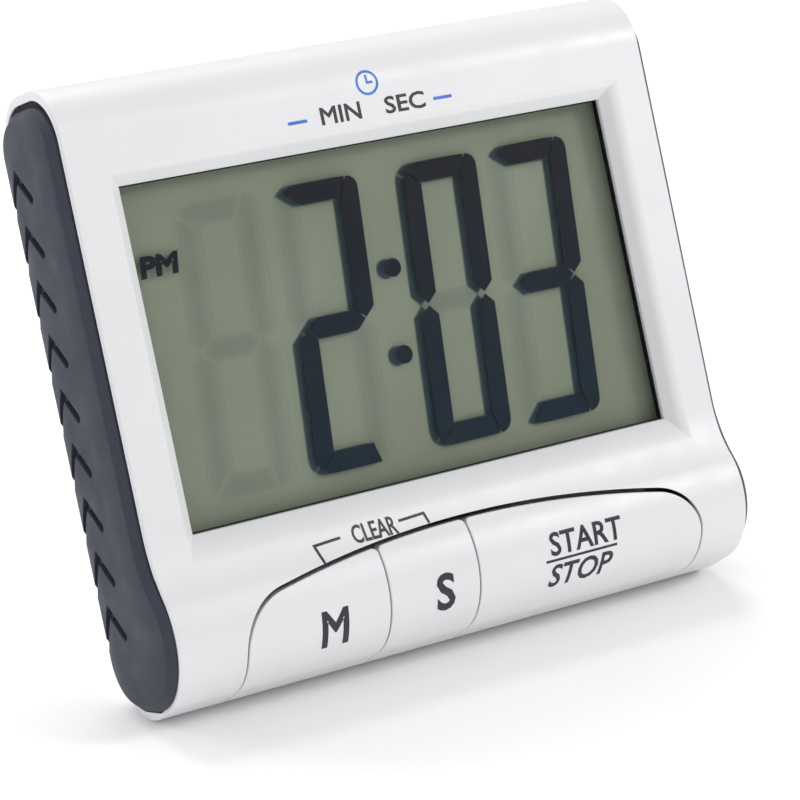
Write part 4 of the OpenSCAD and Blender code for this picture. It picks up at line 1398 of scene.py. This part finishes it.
def make_grip(side):
    """The grip on one end, -1 for the left and 1 for the right, and a thin black band round it that is
    painted shade for the gap between grip and case.
    """
    name = "right_grip" if side > 0 else "left_grip"
    chevron = bent(CHEVRON_FRONT, CHEVRON_BEND, CHEVRON_BACK, CHEVRON_R)
    heights = [CHEVRON_TOP - CHEVRON_PITCH * k for k in range(CHEVRONS)]
    grooves = [Cut(chevron + (0, z), CHEVRON_EDGE) for z in heights]
    border = Cut(pad_outline(), grip_edge(), outer=True)
    skin = Skin()
    plate(skin, facing_side(side * GRIP_TOP_X, side), border, grooves, CHEVRON_DEPTH)
    slab(skin, border.loop, side, GRIP_TOP_X - GRIP_EDGE_DROP, GRIP_BASE_X, capped=False)
    piece(skin, name + "_pad", "case", "grip_slate", name)
    # Painted shade: a black band in the gap round the grip.
    skin = Skin()
    slab(skin, outline(GRIP, -GRIP_SHADE_BAND_OUT), side, GRIP_SHADE_BAND_X, GRIP_BASE_X + 0.05)
    piece(skin, name + "_painted_shade_band", "case", "zebra_rubber")


# ---------------------------------------------------------------- ink and display marks
def outlines_of(text, low, high, bold=0.0, lean=0.0):
    """A word's outlines in the built-in font, made to fill the box between two corners."""
    curve = bpy.data.curves.new("word", "FONT")
    curve.body, curve.shear, curve.fill_mode, curve.resolution_u = text, lean, "NONE", 3
    word = linked("word", curve)
    mesh = bpy.data.meshes.new_from_object(word.evaluated_get(bpy.context.evaluated_depsgraph_get()))
    points = np.array([v.co[:2] for v in mesh.vertices])
    after = {}
    for edge in mesh.edges:
        a, b = edge.vertices
        after.setdefault(a, []).append(b)
        after.setdefault(b, []).append(a)
    bpy.data.objects.remove(word)
    bpy.data.meshes.remove(mesh)
    size = points.max(0) - points.min(0)
    room = np.array(high) - np.array(low) - 2 * bold
    points = np.array(low) + bold + (points - points.min(0)) / size * room
    loops, seen = [], set()
    for start in sorted(after):
        if start not in seen:
            path, here = [], start
            while here is not None:
                path.append(here)
                seen.add(here)
                here = next((n for n in after[here] if n not in seen), None)
            loops.append(points[path])
    return [thickened(loop, loops, bold) for loop in loops]


def thickened(loop, loops, bold):
    """The loop moved away from the ink's side, into the bare side, by bold."""
    holes = sum(inside_loop(loop[:1] + 1e-5, other)[0] for other in loops if other is not loop)
    return grown(loop, -bold if holes % 2 else bold)


def printed(into, surface, plan_loops, rise, edges=True):
    """Ink of a small thickness laid on a surface: its face and, unless told otherwise, its edges."""
    starts = np.concatenate(plan_loops)
    ends = np.concatenate([np.roll(loop, -1, axis=0) for loop in plan_loops])
    low, high = starts.min(0) - 0.1, starts.max(0) + 0.1
    lines = [[(low[0], s), (high[0], s)] for s in surface.stations(low[1], high[1])]
    points, triangles = triangulated(plan_loops, lines)
    kept = triangles[inside(points[triangles].mean(1), starts, ends)]
    corners = points[kept].reshape(-1, 2)
    into.triangles(surface.place(corners, -rise), surface.normals(corners))
    for a, b in zip(starts, ends) if edges else ():
        run = b - a
        if np.linalg.norm(run) > 1e-6:
            way = np.array([[run[1], -run[0]]]) / np.linalg.norm(run)
            if inside((a + b)[None] / 2 + way * 1e-3, starts, ends)[0]:
                way = -way
            plan = np.array([a, b])
            normal = surface.along(plan[:1], way)[0]
            into.ribbon(surface.place(plan, -rise), surface.place(plan, 0.0), normal)


def on_face(loops):
    """Loops of width and height, as loops of the front section's plan."""
    return [np.c_[loop[:, 0], FRONT.s_of("z", loop[:, 1], *FRONT_DOWN)] for loop in loops]


def stroke(points, width):
    """A thin line through points, as the outline of a band with mitred corners."""
    points = np.array(points, float)
    runs = np.diff(points, axis=0)
    runs /= np.linalg.norm(runs, axis=1)[:, None]
    sides = np.c_[-runs[:, 1], runs[:, 0]]
    before, after = np.r_[sides[:1], sides], np.r_[sides, sides[-1:]]
    offset = (before + after) / (1 + (before * after).sum(1))[:, None] * width / 2
    return np.concatenate([points + offset, (points - offset)[::-1]])


INK_RISE = 0.02


def ink(name, body, loops, finish=BLACK_INK):
    """Marks printed on the front, given as loops of width and height."""
    skin = Skin()
    printed(skin, Rolled(FRONT), on_face(loops), INK_RISE)
    piece(skin, name, body, "lcd_mark", finish=finish)


def clock_face(centre, radius, line):
    """A round dial with two hands, as a plain picture of a clock."""
    hub = np.array(centre)
    return [circle(centre, radius), circle(centre, radius - line),
            stroke([hub + (0, radius * 0.62), hub, hub + (radius * 0.5, 0)], line)]


def make_labels():
    dashes = [rounded((-12.6, 27.05), (-9.6, 27.5), 0.15), rounded((10.3, 27.05), (13.3, 27.5), 0.15)]
    ink("dial_label", "case", dashes + clock_face((0.6, 31.0), 1.75, 0.36), BLUE_INK)
    ink("units_label", "case",
        outlines_of("MIN", (-7.5, 26.3), (-1.2, 28.7), 0.07)
        + outlines_of("SEC", (2.6, 26.3), (9.0, 28.7), 0.07))
    bracket = [stroke([(-21.83, -31.1), (-22.4, -28.44), (-18.3, -28.2)], 0.38),
               stroke([(-9.1, -27.95), (-5.06, -27.74), (-4.75, -29.2)], 0.38)]
    ink("clear_label", "case",
        outlines_of("CLEAR", (-16.5, -29.55), (-9.6, -27.0), 0.06) + bracket)
    ink("minutes_label", "minutes_key",
        outlines_of("M", (-24.4, -41.95), (-20.3, -37.0), 0.16))
    ink("seconds_label", "seconds_key",
        outlines_of("S", (-6.5, -41.25), (-3.6, -36.1), 0.18))
    ink("start_stop_label", "start_stop_key",
        outlines_of("START", (12.1, -37.85), (24.1, -34.5), 0.085)
        + [stroke([(11.2, -38.42), (23.1, -38.42)], 0.36)]
        + outlines_of("STOP", (11.7, -42.1), (22.4, -39.05), 0.085, 0.22))


# ---------------------------------------------------------------- the display
FIGURE_W, FIGURE_H, BAR_W, BAR_GAP, SLANT = 12.2, 39.4, 3.0, 0.2, 0.08
BAR_LEFT_R, BAR_RIGHT_R, TOP_SPLIT, LOW_SPLIT = 2.5, 1.9, 32, 50
FIGURE_Z, REFRACTED = -0.3, 0.45
DOTS_AT, DOT_R = ((0.2, 5.7), (-0.8, -6.3)), 1.3
AFTERNOON = ((-36.7, 10.75), (-30.8, 13.7), 0.22, 0.12)
# Painted shadows of the bars: how far left they are shifted, as if lit from the right, and how thin they are.
SHADOW_PAINT_SHIFT, SHADOW_PAINT_THICKNESS = 0.75, 0.008
# Painted shadows of the bars on the reflector. Name, finish, whether of the lit bars, how much wider than the
# bars, and height over the reflector.
BAR_SHADOWS_PAINTED = (("display_figure_painted_shadows", PAINTED_SHADOW_TINT, True, 0.12, 0.010),
          ("display_figure_painted_shadow_rims", PAINTED_SHADOW_CORE_TINT, True, -0.1, 0.022),
          ("display_unlit_painted_shadows", GHOST_AND_PAINTED_SHADE_TINT, False, 0.3, 0.034),
          ("display_unlit_painted_shadow_cores", GHOST_AND_PAINTED_SHADE_TINT, False, -0.35, 0.046))
# A thin black band just behind the window's edge, painted shade for the dark gap between the case's lip and
# the display: its spread from the opening, and its depths.
PAINTED_WINDOW_SHADE, PAINTED_WINDOW_SHADE_Y = (0.02, -0.17), (LCD_Y - 0.12, LCD_Y - 0.005)
# The black border painted in as shade round the display's edge: its inset from the polarizer, its opening's
# left, right, and upper and lower insets, and its depths.
BORDER_INSET, VIEW_LEFT, VIEW_RIGHT, VIEW_INSET, PAINTED_SHADE_MASK_Y = 0.3, 0.3, 0.1, 0.12, (2.108, 2.118)
BARS = ("top", "top_right", "low_right", "bottom", "low_left", "top_left", "middle")
FIGURES = [(-25.1, ()), (-10.0, ("top", "top_right", "middle", "low_left", "bottom")),
           (9.2, tuple(b for b in BARS if b != "middle")),
           (24.3, ("top", "top_right", "middle", "low_right", "bottom"))]


def bar_outlines():
    """The seven bars of a figure about its own middle, with round outer corners."""
    w, h, b = FIGURE_W / 2, FIGURE_H / 2, BAR_W
    left_r, right_r = BAR_LEFT_R, BAR_RIGHT_R
    step = math.radians(10)

    def left_corner(split):
        """The round top left corner, shared between two bars at an angle above level."""
        corner, start = (left_r - w, h - left_r), math.pi
        mid = math.pi - math.radians(split)
        return arc(corner, left_r, mid, math.pi / 2, step), arc(corner, left_r, start, mid, step)

    def over_bar(split):
        return np.concatenate([left_corner(split)[0], [(w - right_r, h), (w - b, h - b), (b - w, h - b)]])

    def left_bar(split):
        inner = [(b - w, h - b), (b - w, b / 2), (b / 2 - w, 0), (-w, b / 2)]
        return np.concatenate([left_corner(split)[1], inner])

    right = np.concatenate([arc((w - right_r, h - right_r), right_r, math.pi / 2, 0, step),
                            [(w, b / 2), (w - b / 2, 0), (w - b, b / 2), (w - b, h - b)]])
    middle = np.array([(b / 2 - w, 0), (b - w, b / 2), (w - b, b / 2), (w - b / 2, 0), (w - b, -b / 2),
                       (b - w, -b / 2)])
    flipped = np.array([1, -1])
    shapes = {"top": over_bar(TOP_SPLIT), "top_right": right, "top_left": left_bar(TOP_SPLIT),
              "middle": middle, "bottom": over_bar(LOW_SPLIT) * flipped, "low_right": right * flipped,
              "low_left": left_bar(LOW_SPLIT) * flipped}
    return {name: grown(shape, -BAR_GAP / 2) for name, shape in shapes.items()}


def thin_marks(name, finish, loops, front_y, back_y, *nodes):
    """Thin flat marks between two depths."""
    skin = Skin()
    printed(skin, facing_front(back_y), loops, back_y - front_y)
    printed(skin, facing_back(back_y), loops, 0.0, edges=False)
    piece(skin, name, "case", "lcd_mark", *nodes, finish=finish)


def make_display():
    """The lit and unlit bars, their painted shadows on the reflector, a black band painted in as shade behind
    the window's edge, and the black border, which is painted shade round the display's edge.
    """
    lit, unlit = [], []
    for x, shown in FIGURES:
        for name, bar in bar_outlines().items():
            place = np.c_[bar[:, 0] + SLANT * bar[:, 1] + x + REFRACTED, bar[:, 1] + FIGURE_Z]
            (lit if name in shown else unlit).append(place)
    lit += [circle((x + REFRACTED, z), DOT_R) for x, z in DOTS_AT]
    low, high = node_box("lcd_segments")
    thin_marks("display_figures", FINISH["lcd_mark"], lit + outlines_of("PM", *AFTERNOON),
           low[1], high[1], "lcd_segments")
    thin_marks("display_unlit_bars", GHOST_AND_PAINTED_SHADE_TINT, unlit, low[1], high[1], "lcd_segments")
    film = node_box("lcd_reflector")[0][1]
    # Painted shadows: tinted see-through copies of the bars, shifted left and laid just in front of the
    # reflector.
    for name, finish, of_lit, spread, level in BAR_SHADOWS_PAINTED:
        moved = [grown(loop, spread) - (SHADOW_PAINT_SHIFT, 0) for loop in (lit if of_lit else unlit)]
        thin_marks(name, finish, moved, film - level - SHADOW_PAINT_THICKNESS, film - level)
    half_w, half_h = WINDOW[0] / 2, WINDOW[1] / 2
    opening = rectangle((-half_w, -half_h), (half_w, half_h))
    # Painted shade: a black band in the dark gap between the window's lip and the display.
    frame_band("window_painted_shade_band", *[grown(opening, spread) for spread in PAINTED_WINDOW_SHADE], *PAINTED_WINDOW_SHADE_Y)
    # Painted shade: a black border round the display's viewing area, standing in for the shade under the
    # window's edge.
    low, high = [corner[[0, 2]] for corner in node_box("lcd_polarizer")]
    border = rectangle(low + BORDER_INSET, high - BORDER_INSET)
    viewing = rectangle((VIEW_LEFT - half_w, VIEW_INSET - half_h), (half_w + VIEW_RIGHT, half_h - VIEW_INSET))
    frame_band("display_painted_shade_border", border, viewing, *PAINTED_SHADE_MASK_Y)


def make_sheets():
    """The display's flat sheets."""
    for node_name, slot in (("lcd_polarizer", "polarizer"), ("lcd_front_glass", "lcd_glass"),
                            ("lcd_rear_glass", "lcd_glass"), ("lcd_reflector", "reflector")):
        skin = Skin()
        block(skin, *node_box(node_name))
        piece(skin, node_name + "_sheet", "case", slot, node_name)


def frame_band(name, outer, inner, front_y, back_y):
    """A flat black frame between two loops of width and height."""
    skin = Skin()
    flat_face(skin, facing_front(front_y), outer, [inner])
    flat_face(skin, facing_back(back_y), outer, [inner])
    for loop, outwards in ((outer, 1), (inner, -1)):
        side_wall(skin, loop, facing_back(front_y), facing_back(back_y), outwards)
    piece(skin, name, "case", "zebra_rubber")


# ---------------------------------------------------------------- CAD nodes that stay
MERGED_WITHIN, SOFT_EDGE, SOFT_ANGLE = 0.001, 0.05, 50


def finish_cad_nodes():
    """Gives each visible CAD node the finish of its slot, and softens its sharp edges."""
    for name, shown in frame["nodes"].items():
        slot = shown.data.materials[0].name
        if not shown.hide_render:
            shown.data.materials[0] = WIRES[name] if name in WIRES else FINISH[slot]
            weld = shown.modifiers.new("weld", "WELD")
            weld.merge_threshold = MERGED_WITHIN * MM
            softened = shown.modifiers.new("softened_edges", "BEVEL")
            softened.width, softened.segments = SOFT_EDGE * MM, 2
            softened.limit_method, softened.angle_limit = "ANGLE", math.radians(SOFT_ANGLE)


make_front_case()
make_rear_case()
make_stand()
make_door()
make_cell()
make_magnets()
make_knob()
for key in KEYS:
    make_key(*key)
make_grip(-1)
make_grip(1)
make_labels()
make_display()
make_sheets()
finish_cad_nodes()
